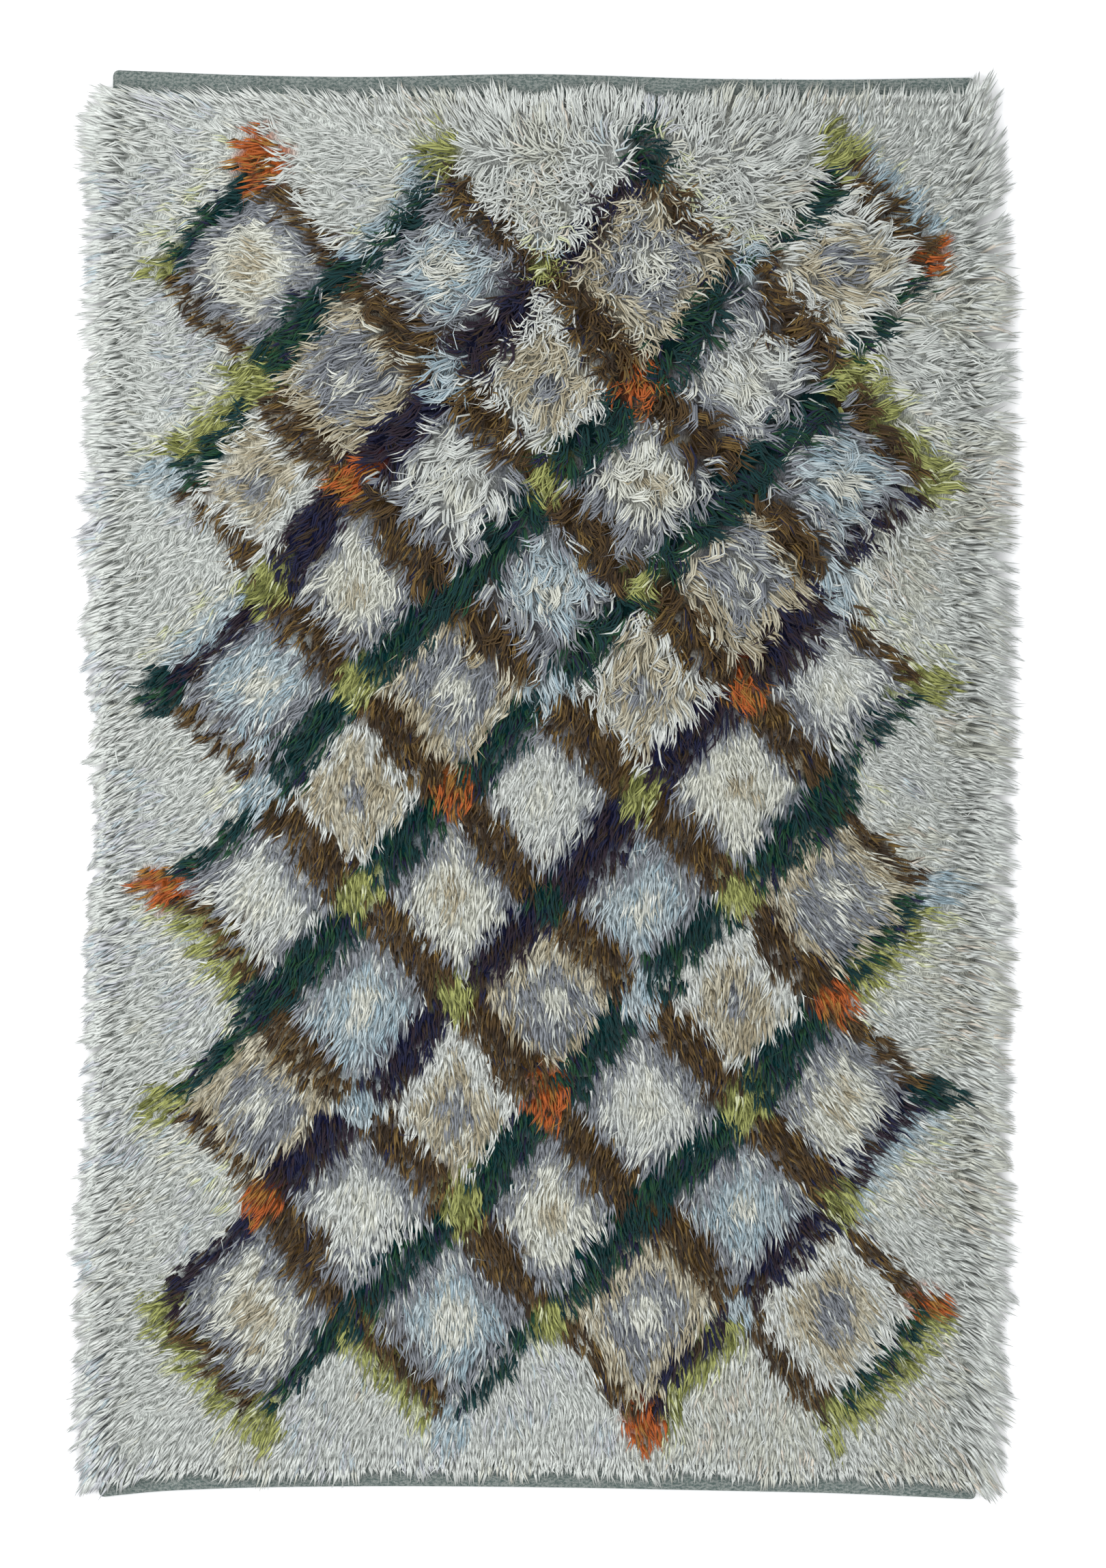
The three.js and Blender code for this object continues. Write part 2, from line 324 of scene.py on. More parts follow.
class Board:
    """The node tree of one material, with one method that adds any node to it."""

    def __init__(self, name: str) -> None:
        """Makes a material with an empty tree.

        Args:
            name: The material's name.
        """
        self.material = bpy.data.materials.new(name)
        self.material.use_nodes = True
        self.tree = self.material.node_tree
        self.tree.nodes.clear()

    def add(self, kind: str, settings: dict, sockets: dict, output: int | str = 0) -> Signal:
        """Adds a node, sets it up and fills its sockets.

        Args:
            kind: The node's type.
            settings: Its properties, set first.
            sockets: Its inputs by name or number, each a Signal to link or a value.
            output: Which output to hand back.

        Returns:
            That output.
        """
        node = self.tree.nodes.new(kind)
        for name, value in settings.items():
            setattr(node, name, value)
        for place, value in sockets.items():
            if isinstance(value, Signal):
                self.tree.links.new(value.socket, node.inputs[place])
            else:
                node.inputs[place].default_value = value
        return Signal(self, node.outputs[output])

    def mix(self, share: "Signal | float", first: "Signal | tuple", second: "Signal | tuple") -> Signal:
        """Blends two colours: first where share is 0, second where it is 1."""
        first, second = ((*c, 1.0) if isinstance(c, tuple) else c for c in (first, second))
        return self.add("ShaderNodeMix", {"data_type": "RGBA"}, {0: share, 6: first, 7: second}, 2)

    def scaled(self, colour: Signal, factor: "Signal | float") -> Signal:
        """A colour times a number."""
        return self.add("ShaderNodeVectorMath", {"operation": "SCALE"}, {0: colour, "Scale": factor})

    def wool(self, attribute: str, output: str = "Color") -> Signal:
        """A piece's own dyes, stored at its points."""
        return self.add("ShaderNodeAttribute", {"attribute_name": attribute}, {}, output)

    def place(self) -> Signal:
        """The place on the object."""
        return self.add("ShaderNodeTexCoord", {}, {}, "Object")

    def noise(
        self, at: Signal, scale: float, detail: float = 2.0, roughness: float = 0.5, output: int | str = 0
    ) -> Signal:
        """A noise of that many lumps to the metre, from 0 to 1, or its colour."""
        sockets = {"Vector": at, "Scale": scale, "Detail": detail, "Roughness": roughness}
        return self.add("ShaderNodeTexNoise", {}, sockets, output)

    def stretched(self, at: Signal, scale: tuple[float, float, float]) -> Signal:
        """Coordinates times a scale for each axis."""
        return self.add("ShaderNodeMapping", {}, {"Vector": at, "Scale": scale})

    def shaded(self, colour: "Signal | tuple", more: dict) -> bpy.types.Material:
        """Closes the tree with a Principled shader of that colour and these other sockets."""
        shader = self.add("ShaderNodeBsdfPrincipled", {}, {"Base Color": colour, **more})
        output = self.tree.nodes.new("ShaderNodeOutputMaterial")
        self.tree.links.new(shader.socket, output.inputs["Surface"])
        return self.material

    def bumped(
        self, colour: Signal, height: Signal, depth: float, strength: float, fixed: dict
    ) -> bpy.types.Material:
        """Closes the tree like shaded, with a bump that is depth metres deep where height is 1."""
        bump = self.add("ShaderNodeBump", {}, {"Height": height, "Distance": depth, "Strength": strength})
        return self.shaded(colour, {"Normal": bump, **fixed})


class Yarn(Enum):
    """The dyed wools, as screen colours."""

    SILVER = (210, 213, 208)
    MIST = (205, 209, 204)
    PEBBLE = (195, 199, 194)
    DRIFT = (199, 201, 190)
    STEEL = (134, 138, 144)
    SLATE = (110, 114, 122)
    CREAM = (212, 213, 201)
    CHALK = (220, 222, 213)
    BLUSH = (206, 198, 184)
    LILAC = (189, 192, 195)
    BRONZE = (112, 90, 52)
    OAT = (194, 188, 167)
    SAND = (164, 154, 129)
    ICE = (180, 193, 197)
    SKY = (152, 172, 181)
    UMBER = (84, 66, 42)
    BARK = (58, 46, 34)
    PINE = (16, 55, 56)
    FOREST = (34, 70, 48)
    NAVY = (34, 36, 62)
    PLUM = (46, 36, 46)
    LIME = (160, 164, 100)
    MOSS = (112, 116, 64)
    PALE_LIME = (202, 206, 168)
    RUST = (174, 92, 46)
    AMBER = (156, 110, 54)

    def linear(self) -> tuple[float, float, float]:
        """The wool's colour in linear light."""
        return linear_colour(*self.value)


class Patch(Enum):
    """The areas of the pattern, each a mix of wools with the share of its locks that each makes."""

    BORDER = ((Yarn.MIST, 0.6), (Yarn.SILVER, 0.12), (Yarn.PEBBLE, 0.16), (Yarn.DRIFT, 0.12))
    WARM = ((Yarn.DRIFT, 0.5), (Yarn.MIST, 0.25), (Yarn.BLUSH, 0.12), (Yarn.PEBBLE, 0.13))
    COOL = ((Yarn.MIST, 0.58), (Yarn.LILAC, 0.22), (Yarn.ICE, 0.2))
    HAZE = ((Yarn.MIST, 0.4), (Yarn.CREAM, 0.3), (Yarn.PALE_LIME, 0.18), (Yarn.ICE, 0.12))
    RING = ((Yarn.STEEL, 0.65), (Yarn.PEBBLE, 0.15), (Yarn.SLATE, 0.2))
    WHITE = ((Yarn.CREAM, 0.62), (Yarn.CHALK, 0.25), (Yarn.SILVER, 0.13))
    STRAW = ((Yarn.OAT, 0.5), (Yarn.SAND, 0.3), (Yarn.CREAM, 0.2))
    WATER = ((Yarn.ICE, 0.55), (Yarn.SKY, 0.25), (Yarn.SILVER, 0.2))
    STONE = ((Yarn.SILVER, 0.5), (Yarn.MIST, 0.3), (Yarn.CREAM, 0.2))
    EARTH = ((Yarn.UMBER, 0.44), (Yarn.BARK, 0.26), (Yarn.BRONZE, 0.2), (Yarn.NAVY, 0.1))
    WOOD = ((Yarn.PINE, 0.6), (Yarn.FOREST, 0.22), (Yarn.NAVY, 0.18))
    NIGHT = ((Yarn.NAVY, 0.4), (Yarn.PLUM, 0.35), (Yarn.BARK, 0.25))
    LEAF = ((Yarn.LIME, 0.6), (Yarn.MOSS, 0.22), (Yarn.PALE_LIME, 0.18))
    FIRE = ((Yarn.RUST, 0.55), (Yarn.AMBER, 0.3), (Yarn.UMBER, 0.15))


@dataclass(frozen=True)
class Colourway:
    """The areas that fill one lozenge, from its rim inwards."""

    ring: Patch
    core: Patch
    heart: Patch


@dataclass(frozen=True)
class Pattern:
    """A traditional lattice of stepped lozenges, knot by knot, on a plain pale border."""

    half_width: float = 138.0
    half_height: float = 152.0
    step_across: float = 18.4
    step_along: float = 20.0
    lozenges_across: int = 4
    lozenges_along: int = 6
    core: float = 0.54
    heart: float = 0.2
    outline: float = 0.74
    accent: float = 0.26
    rim_width: float = 0.14
    haze_width: float = 0.26
    drift: float = 11.0
    tint: Ripple = Ripple(85.0, 43)
    tint_over: float = 0.42
    warmer_rightwards: float = 0.0008
    drift_across: Ripple = Ripple(120.0, 41)
    drift_along: Ripple = Ripple(120.0, 42)
    ways: tuple[Colourway, ...] = (
        Colourway(Patch.RING, Patch.STONE, Patch.WHITE),
        Colourway(Patch.STRAW, Patch.RING, Patch.WHITE),
        Colourway(Patch.RING, Patch.WHITE, Patch.STRAW),
        Colourway(Patch.STONE, Patch.STRAW, Patch.RING),
        Colourway(Patch.RING, Patch.WATER, Patch.WHITE),
    )
    lines: tuple[Patch, ...] = (
        Patch.EARTH, Patch.WOOD, Patch.EARTH, Patch.NIGHT, Patch.EARTH, Patch.WOOD,
    )
    accents: tuple[Patch, ...] = (Patch.LEAF, Patch.WATER, Patch.FIRE, Patch.LEAF, Patch.WOOD)
    rims: tuple[Patch, ...] = (Patch.LEAF, Patch.WATER, Patch.LEAF, Patch.HAZE)
    highest_chance: float = 0.9999

    @staticmethod
    def chosen(patches: tuple[Patch, ...], which: np.ndarray) -> np.ndarray:
        """The number, in the order of all patches, of each choice out of these."""
        order = list(Patch)
        return np.array([order.index(patch) for patch in patches])[which % len(patches)]

    def lozenge(self, u: np.ndarray, v: np.ndarray) -> tuple[np.ndarray, np.ndarray, np.ndarray]:
        """Finds the lozenge that each place lies in.

        Args:
            u: Places across, in half widths.
            v: Places along, in half heights.

        Returns:
            The lozenges' column and row, and whether each belongs to the pattern.
        """
        up = np.floor((u + v) / 2.0 + 0.5).astype(int)
        down = np.floor((u - v) / 2.0 + 0.5).astype(int)
        column, row = up + down, up - down
        return column, row, (np.abs(column) < self.lozenges_across) & (np.abs(row) < self.lozenges_along)

    def patches(self, x: np.ndarray, y: np.ndarray) -> np.ndarray:
        """Finds the pattern's area at each knot.

        A lozenge is where |across| / half_width + |along| / half_height is under 1, with both
        distances rounded to whole steps. Lozenges fill the plane in two staggered grids. Round
        the outermost ones run a bright line and a hazy one, and then comes the border.

        Args:
            x: Places across.
            y: Places along.

        Returns:
            The number of each knot's area in the order of all patches.
        """
        x, y = x + self.drift * self.drift_across(x, y), y + self.drift * self.drift_along(x, y)
        u = (np.floor(x / self.step_across) + 0.5) * self.step_across / self.half_width
        v = (np.floor(y / self.step_along) + 0.5) * self.step_along / self.half_height
        column, row, held = self.lozenge(u, v)
        inside = np.abs(u - column) + np.abs(v - row)
        kind = column + 2 * row
        rings, cores, hearts = zip(*((way.ring, way.core, way.heart) for way in self.ways))
        found = self.chosen(rings, kind)
        found = np.where(inside < self.core, self.chosen(cores, kind), found)
        found = np.where(inside < self.heart, self.chosen(hearts, kind), found)
        rising = (u - column) * (v - row) > 0
        band = np.where(rising, 2 * np.floor((u + v) / 2.0 + 1.0), 2 * np.floor((u - v) / 2.0 + 1.0) + 1)
        found = np.where(inside > self.outline, self.chosen(self.lines, band.astype(int)), found)

        tint = self.tint(x, y) + self.warmer_rightwards * x
        plain = np.where(tint > self.tint_over, 1, np.where(tint < -self.tint_over, 2, 0))
        beyond = self.chosen((Patch.BORDER, Patch.WARM, Patch.COOL), plain)
        for width, edging in ((self.haze_width, (Patch.HAZE,)), (self.rim_width, self.rims)):
            moved_column, moved_row, near = self.lozenge(u - width * np.sign(u), v - width * np.sign(v))
            beyond = np.where(near, self.chosen(edging, moved_column + moved_row // 2), beyond)
        found = np.where(held, found, beyond)

        corner_u, corner_v = np.round(u), np.round(v)
        at_meeting = (corner_u + corner_v) % 2 != 0
        from_corner = np.abs(u - corner_u) + np.abs(v - corner_v)
        reached = (np.abs(corner_u) <= self.lozenges_across) & (np.abs(corner_v) <= self.lozenges_along)
        accent = self.chosen(self.accents, (corner_u * 3 + corner_v).astype(int))
        return np.where(at_meeting & reached & (from_corner < self.accent), accent, found)

    def colours(self, patches: np.ndarray, chance: np.ndarray) -> np.ndarray:
        """Picks a wool for each lock from its area's mix.

        Args:
            patches: Each lock's area.
            chance: A number from 0 to 1 for each lock.

        Returns:
            Linear colours, one row for each lock.
        """
        colours = np.zeros((len(patches), 3))
        for place, patch in enumerate(Patch):
            shares = np.cumsum([share for _, share in patch.value])
            wools = np.array([yarn.linear() for yarn, _ in patch.value])
            here = patches == place
            which = np.searchsorted(shares, chance[here] * shares[-1] * self.highest_chance)
            colours[here] = wools[which]
        return colours


@dataclass(frozen=True)
class Lay:
    """Which way the pile lies, and how tangled it is.

    The pull's rises are over shares of half_width and half_length.
    """

    half_width: float = 680.0
    half_length: float = 1040.0
    far_half: Rise = Rise(-0.15, 0.6)
    turning_out: Rise = Rise(0.3, 0.95)
    outwards: float = 1.15
    fan_middle: float = 0.1
    beside: Rise = Rise(0.35, 0.95)
    level: float = 0.57
    level_rightwards: float = 0.12
    steep_end: Rise = Rise(0.5, 0.9)
    steepness: float = 0.75
    turning_round: Rise = Rise(0.0, 0.8)
    turned_round: float = 0.85
    far_hem: Rise = Rise(0.865, 0.985)
    over_far_hem: float = 1.5
    near_hem: Rise = Rise(0.85, 1.0)
    over_near_hem: float = 0.9
    on_right: Rise = Rise(0.35, 0.9)
    right_half: Rise = Rise(0.35, 0.7)
    right_half_lean: float = 0.3
    right_corner: Rise = Rise(0.72, 0.98)
    right_corner_lean: float = 0.9
    whorl: float = 0.18
    whorl_calm_at_sides: float = 0.7
    whorl_across: Ripple = Ripple(80.0, 14)
    whorl_along: Ripple = Ripple(80.0, 15)
    broad: Ripple = Ripple(170.0, 11)
    broad_turn: float = 0.36
    tufted: Ripple = Ripple(48.0, 12)
    tufted_turn: float = 0.24
    curly: Ripple = Ripple(31.0, 13)
    curly_turn: float = 0.95
    off_rim: Rise = Rise(30.0, 160.0)
    rim_turn: float = 0.25
    tangle_middle: tuple[float, float] = (130.0, 560.0)
    tangle_radii: tuple[float, float] = (470.0, 560.0)
    tangle_fade: Rise = Rise(0.4, 1.1)
    tangle_inside: float = 0.67
    tangle_everywhere: float = 0.08
    tangling: Rise = Rise(-0.2, 0.5)
    tangle_far: float = 0.25
    pulled: Rise = Rise(0.1, 0.5)

    def pull(self, x: np.ndarray, y: np.ndarray) -> tuple[np.ndarray, np.ndarray]:
        """The direction in which locks are combed.

        In the near half they lie to the near end and turn out to the sides; in the far half they
        lie outwards; at both ends they fall over the hem, steepest at the far right corner. Along
        the sides they lie nearly level, more so on the right.

        Args:
            x: Places across.
            y: Places along.

        Returns:
            The pull across and the pull along, together up to about 2 long.
        """
        u, v = x / self.half_width, y / self.half_length
        far_half = self.far_half(v)
        turned_out = np.sign(u) * self.turning_out(np.abs(u))
        across = self.outwards * ((1.0 - far_half) * turned_out + far_half * (u - self.fan_middle))
        at_side = self.beside(np.abs(u)) * (1.0 - self.steepness * self.steep_end(-v))
        levelled = (self.level + self.level_rightwards * np.sign(u)) * at_side
        nearwards = (1.0 - self.turned_round * self.turning_round(v)) * (1.0 - levelled)
        over_far = (self.over_far_hem + u) * self.far_hem(v)
        far_right = self.right_half_lean * self.right_half(v)
        far_right = far_right + self.right_corner_lean * self.right_corner(v)
        over_near = self.over_near_hem * self.near_hem(-v)
        along = over_far + far_right * self.on_right(u) - nearwards - over_near
        whorl = self.whorl * far_half * (1.0 - self.whorl_calm_at_sides * np.abs(u))
        return across + whorl * self.whorl_across(x, y), along + whorl * self.whorl_along(x, y)

    def heading(self, x: np.ndarray, y: np.ndarray) -> np.ndarray:
        """The angle at which locks lie, from X in radians: the pull, turned by broad and small swirls."""
        across, along = self.pull(x, y)
        inwards = np.minimum(self.half_width - np.abs(x), self.half_length - np.abs(y))
        freedom = self.rim_turn + (1.0 - self.rim_turn) * self.off_rim(inwards)
        swirl = self.broad_turn * self.broad(x, y) + self.tufted_turn * self.tufted(x, y)
        curls = self.curly_turn * self.tangle(x, y)[0] * self.curly(x, y)
        return np.arctan2(along, across) + freedom * (swirl + curls)

    def tangle(self, x: np.ndarray, y: np.ndarray) -> tuple[np.ndarray, np.ndarray]:
        """How tangled the locks are, most in the far middle, and how far they part.

        Args:
            x: Places across.
            y: Places along.

        Returns:
            The tangle, and the parting where the pull turns round, each from 0 to 1.
        """
        u = (x - self.tangle_middle[0]) / self.tangle_radii[0]
        v = (y - self.tangle_middle[1]) / self.tangle_radii[1]
        across, along = self.pull(x, y)
        parting = 1.0 - self.pulled(np.hypot(across, along))
        far_half = self.tangle_far * self.tangling(y / self.half_length)
        inside = self.tangle_inside * (1.0 - self.tangle_fade(np.hypot(u, v)))
        return np.clip(self.tangle_everywhere + far_half + inside, 0.0, 1.0), parting


@dataclass
class Tufts:
    """The tuft that each lock belongs to, and random numbers that a tuft's locks share."""

    number: np.ndarray
    turned: np.ndarray
    lengthened: np.ndarray
    curled: np.ndarray
    lifted: np.ndarray
    ragged: np.ndarray

    def mean(self, values: np.ndarray) -> np.ndarray:
        """The mean of the values over each lock's tuft."""
        return (np.bincount(self.number, values) / np.bincount(self.number))[self.number]


@dataclass(frozen=True)
class Bunches:
    """How neighbouring locks draw together into tufts, the cells of a wavering brick pattern."""

    across: float = 17.0
    along: float = 19.0
    waver: float = 7.0
    seed: int = 53
    most: float = 2.2
    row_stride: int = 1000
    waver_across: Ripple = Ripple(37.0, 51)
    waver_along: Ripple = Ripple(37.0, 52)

    def find(self, x: np.ndarray, y: np.ndarray) -> Tufts:
        """Sorts locks into tufts.

        Args:
            x: The locks' places across.
            y: Their places along.

        Returns:
            Their tufts, with five normal random numbers for each.
        """
        row = np.floor((y + self.waver * self.waver_along(x, y)) / self.along).astype(int)
        column = (x + self.waver * self.waver_across(x, y)) / self.across + 0.5 * (row % 2)
        column = np.floor(column).astype(int)
        chance = np.random.default_rng(self.seed).normal(0.0, 1.0, (5, LATTICE, LATTICE))
        _, number = np.unique(row * self.row_stride + column, return_inverse=True)
        chance = chance[:, column % LATTICE, row % LATTICE]
        return Tufts(number, *np.clip(chance, -self.most, self.most))


@dataclass(frozen=True)
class Station:
    """One place along a lock, from its root to its tip; its shade is painted shade on the wool, darkest at
    the root.
    """

    along: float
    rise: float
    bow: float
    girth: float
    # painted shade: how far the wool is darkened here, most at the root where the other locks shade it
    shade: float


class Wear(Enum):
    """The two kinds of knots, by how their locks have worn."""

    COMBED = "combed"
    CURLED = "curled"


@dataclass(frozen=True)
class Coat:
    """One kind of lock, and how many of them a knot has."""

    wear: Wear
    strands: int
    radius: float
    flatness: float
    shortest: float
    longest: float
    lift: float
    gather: float
    scatter: float
    wisp_share: float
    streaks_around: float
    bunches: Bunches
    stations: tuple[Station, ...]

    def column(self, name: str) -> np.ndarray:
        """One value of every station, in order."""
        return np.array([getattr(station, name) for station in self.stations])


COMBED_COAT = Coat(
    wear=Wear.COMBED,
    strands=5,
    radius=1.75,
    flatness=0.45,
    shortest=30.0,
    longest=46.0,
    lift=0.92,
    gather=0.16,
    scatter=0.8,
    wisp_share=0.03,
    streaks_around=6.0,
    bunches=Bunches(across=9.0, along=16.0, waver=5.0, seed=63),
    # the stations' shade is painted shade, darker towards the root
    stations=(
        Station(along=0.0, rise=0.0, bow=0.0, girth=0.8, shade=0.92),
        Station(along=0.5, rise=0.86, bow=1.0, girth=1.0, shade=0.97),
        Station(along=1.0, rise=1.0, bow=-0.5, girth=0.0, shade=1.0),
    ),
)
CURLED_COAT = Coat(
    wear=Wear.CURLED,
    strands=6,
    radius=1.6,
    flatness=0.5,
    shortest=36.0,
    longest=56.0,
    lift=0.88,
    gather=0.22,
    scatter=0.9,
    wisp_share=0.08,
    streaks_around=6.0,
    bunches=Bunches(),
    # the stations' shade is painted shade, darker towards the root
    stations=(
        Station(along=0.0, rise=0.0, bow=0.0, girth=0.75, shade=0.72),
        Station(along=0.24, rise=0.78, bow=0.6, girth=1.0, shade=0.9),
        Station(along=0.66, rise=0.94, bow=1.0, girth=0.9, shade=0.97),
        Station(along=1.0, rise=1.0, bow=-0.5, girth=0.0, shade=1.0),
    ),
)


@dataclass(frozen=True)
class Stray:
    """How far locks stray: when calm, and how much more where tangled, parted or in a wisp."""

    calm: float
    tangled: float = 0.0
    parted: float = 0.0
    wispy: float = 0.0

    def __call__(self, tangle: np.ndarray, parting: np.ndarray, wisp: np.ndarray) -> np.ndarray:
        """The amount for each lock, by its tangle and parting from 0 to 1, and whether it is a wisp."""
        return self.calm + self.tangled * tangle + self.parted * parting + self.wispy * wisp


@dataclass(frozen=True)
class Combing:
    """How locks stray from the lay, draw together and end, in radians and millimetres."""

    off_tips: Rise = Rise(20.0, 110.0)
    tuft_turn: Stray = Stray(0.07, tangled=0.33)
    lock_turn: Stray = Stray(0.09, tangled=0.1, parted=0.65, wispy=0.25)
    length_kept: Stray = Stray(1.0, tangled=-0.1, parted=-0.25)
    tuft_curl: Stray = Stray(0.1, tangled=0.75)
    lock_curl: Stray = Stray(0.1, tangled=0.15, wispy=0.4)
    curl_turn: float = 1.6
    curl_from: float = 0.35
    tuft_bow: Stray = Stray(1.6, tangled=1.4)
    lock_bow: float = 1.0
    tangle_gather: float = 0.2
    towards_side: Rise = Rise(400.0, 650.0)
    side_gather: float = 0.32
    wisp_freedom: float = 0.8
    tuft_lift: Stray = Stray(0.05, tangled=0.07)
    lock_lift: float = 0.04
    wisp_lift: float = 0.08
    lift_range: tuple[float, float] = (0.45, 1.06)
    inside_rim: Rise = Rise(10.0, 80.0)
    rim_lift: float = 0.2
    clearance: float = 0.4
    least_rise: float = 0.6
    least_girth: float = 0.2
    tuft_length: float = 0.6
    lock_length: float = 0.35
    length_limit: float = 1.5
    wisp_length: float = 0.2
    rag: Ripple = Ripple(24.0, 71)
    rag_depth: float = 12.0
    tuft_rag: float = 5.0
    overshoot: float = 4.0
    side_overshoot: float = 9.0
    wisp_overshoot: float = 8.0
    edge_spread: float = 3.0
    end_rows: Rise = Rise(20.0, 55.0)
    most_drawn_out: float = 1.8
    drawn_out_range: tuple[float, float] = (0.82, 1.06)
    shortest: float = 9.0
    width_range: tuple[float, float] = (0.75, 1.2)
    wisp_width: float = 0.45
    rim_stoutness: float = 0.3
    twist: float = 0.25


@dataclass(frozen=True)
class Dyeing:
    """How evenly the wool is dyed: over the rug, knot to knot and lock to lock; and painted shade to the
    right.
    """

    knot_share: float = 0.7
    lock_share: float = 0.3
    abrash: Ripple = Ripple(210.0, 32)
    abrash_depth: float = 0.04
    knot_tone: float = 0.025
    lock_tone: float = 0.03
    rightwards: Rise = Rise(60.0, 620.0)
    # painted shade: how much darker the wool is made at the right, where less light falls
    painted_shade_rightwards: float = 0.06
    darkest: float = 0.004
    lightest: float = 0.93


@dataclass
class Knots:
    """The knots' places, and what all locks of a knot share."""

    x: np.ndarray
    y: np.ndarray
    dye: np.ndarray
    tone: np.ndarray
    combed: np.ndarray

    def wearing(self, coat: Coat) -> np.ndarray:
        """The numbers of the knots that have this coat."""
        return np.flatnonzero(self.combed == (coat.wear is Wear.COMBED))


@dataclass
class Roots:
    """Where a coat's locks are rooted, the knot of each, and which of them are thin wisps."""

    x: np.ndarray
    y: np.ndarray
    knot: np.ndarray
    wisp: np.ndarray


@dataclass
class Locks:
    """One coat's locks. Points, colours and streaks hold a lock in each row; faces, sizes and
    places, which are its point numbers, its corner counts and its map, are alike for all of them.
    """

    points: np.ndarray
    colours: np.ndarray
    faces: np.ndarray
    sizes: np.ndarray
    places: np.ndarray
    streaks: np.ndarray
    root_x: np.ndarray


@dataclass
class Pile:
    """Wool locks knotted in rows through the cloth, each a closed tapered strand."""

    plan: Plan
    pattern: Pattern
    lay: Lay
    node: str = "pile"
    slot: str = "pile"
    seed: int = 20
    strips: int = 6
    row_pitch: float = ROW_PITCH
    knot_pitch: float = KNOT_PITCH
    first_row: float = 40.0
    cloth_top: float = 2.6
    hem_top: float = 5.6
    hem_reach: float = 42.0
    past_selvedge: float = 0.004
    past_fold: float = 3.0
    least_slant: float = 0.02
    pile_height: float = 25.0
    dome_depth: float = 74.0
    rim_rest: float = 2.6
    sides: int = 3
    map_margin: float = 0.06
    map_foot: float = 0.14
    root_map: tuple[tuple[float, float], ...] = ((0.1, 0.03), (0.9, 0.03), (0.5, 0.12))
    streaks_along: float = 1.5
    streak_shift: tuple[float, float] = (3.7, 0.61)
    curling: Rise = Rise(0.3, 0.6)
    selvedge: Rise = Rise(6.0, 42.0)
    rim_from: float = 0.7
    rim_strands: int = 3
    root_spread: float = 1.0
    combing: Combing = Combing()
    dyeing: Dyeing = Dyeing()
    coats: tuple[Coat, ...] = (COMBED_COAT, CURLED_COAT)
    lumps: tuple[tuple[float, float, float, float], ...] = (
        (262, 2.0, 24, 0.4),
        (214, 1.9, 83, 2.1),
        (171, 1.8, 141, 4.4),
        (139, 1.7, 57, 1.2),
        (118, 1.5, 168, 5.3),
        (103, 1.3, 112, 3.0),
    )

    def surface(self, x: np.ndarray, y: np.ndarray) -> np.ndarray:
        """The height that the pile's top reaches.

        Level but for the lumps, each height * sin(2 pi path / length + phase), and rounded down
        to the rim as a quarter circle over dome_depth.

        Args:
            x: Places across.
            y: Places along.

        Returns:
            Heights in millimetres.
        """
        across, along = x - self.plan.shift[0], y - self.plan.shift[1]
        top = np.full(x.shape, self.pile_height)
        for length, height, heading, phase in self.lumps:
            path = across * math.cos(math.radians(heading)) + along * math.sin(math.radians(heading))
            top = top + height * np.sin(2 * math.pi * path / length + phase)
        t = 1.0 - np.clip(self.plan.depth_inside_tips(x, y) / self.dome_depth, 0.0, 1.0)
        return self.rim_rest + (top - self.rim_rest) * np.sqrt(1.0 - t * t)

    def floor(self, x: np.ndarray, y: np.ndarray) -> np.ndarray:
        """The height that a lock lies on: the hem's, the cloth's, or the floor's beside it."""
        share = self.plan.share_across(x, y)
        near, far = self.plan.cloth_ends(np.clip(share, 0.0, 1.0))
        in_end = np.minimum(y - near, far - y)
        on_cloth = np.where(in_end < self.hem_reach, self.hem_top, self.cloth_top)
        beside = (share < -self.past_selvedge) | (share > 1.0 + self.past_selvedge)
        return np.where(beside | (in_end < -self.past_fold), 0.0, on_cloth)

    def knots(self, rng: np.random.Generator) -> Knots:
        """Ties the knots in rows from selvedge to selvedge, each row staggered against the last.

        Args:
            rng: The random numbers.

        Returns:
            The knots, combed where the lay is little tangled.
        """
        near, far = self.plan.cloth_ends(np.array([0.5]))
        rows = np.arange(near[0] + self.first_row, far[0] - self.first_row, self.row_pitch)
        left, right = self.plan.cloth_sides(rows)
        columns = int((right - left).max() / self.knot_pitch) + 1
        share = (np.arange(columns) + 0.5) / columns
        stagger = 0.5 * self.knot_pitch * (np.arange(len(rows)) % 2 - 0.5)
        x = (left + stagger)[:, None] + (right - left)[:, None] * share[None, :]
        end_near, end_far = self.plan.cloth_ends(share)
        along = (rows - near[0]) / (far[0] - near[0])
        y = end_near[None, :] + (end_far - end_near)[None, :] * along[:, None]
        x, y = x.ravel(), y.ravel()
        tangle, _ = self.lay.tangle(x, y)
        combed = rng.random(len(x)) > self.curling(tangle)
        return Knots(x, y, rng.random(len(x)), rng.normal(0.0, 1.0, len(x)), combed)

    def roots(self, coat: Coat, knots: Knots, rng: np.random.Generator) -> Roots:
        """Spreads the locks of a coat over the knots that have it.

        Args:
            coat: The coat.
            knots: All knots.
            rng: The random numbers.

        Returns:
            The roots, one for each lock.
        """
        held = knots.wearing(coat)
        at_rim = self.at_side(knots.x[held], knots.y[held]) > self.rim_from
        strands = coat.strands + self.rim_strands * at_rim
        knot = np.repeat(held, strands)
        first = np.repeat(np.cumsum(strands) - strands, strands)
        share = (np.arange(len(knot)) - first + 0.5) / np.repeat(strands, strands) - 0.5
        x = knots.x[knot] + share * self.knot_pitch + rng.normal(0.0, self.root_spread, len(knot))
        y = knots.y[knot] + rng.uniform(-0.5, 0.5, len(knot)) * self.row_pitch * coat.scatter
        return Roots(x, y, knot, rng.random(len(knot)) < coat.wisp_share)

    def at_side(self, x: np.ndarray, y: np.ndarray) -> np.ndarray:
        """How near a place is to a selvedge, from 0 inside to 1 close to it."""
        left, right = self.plan.cloth_sides(y)
        return 1.0 - self.selvedge(np.minimum(x - left, right - x))

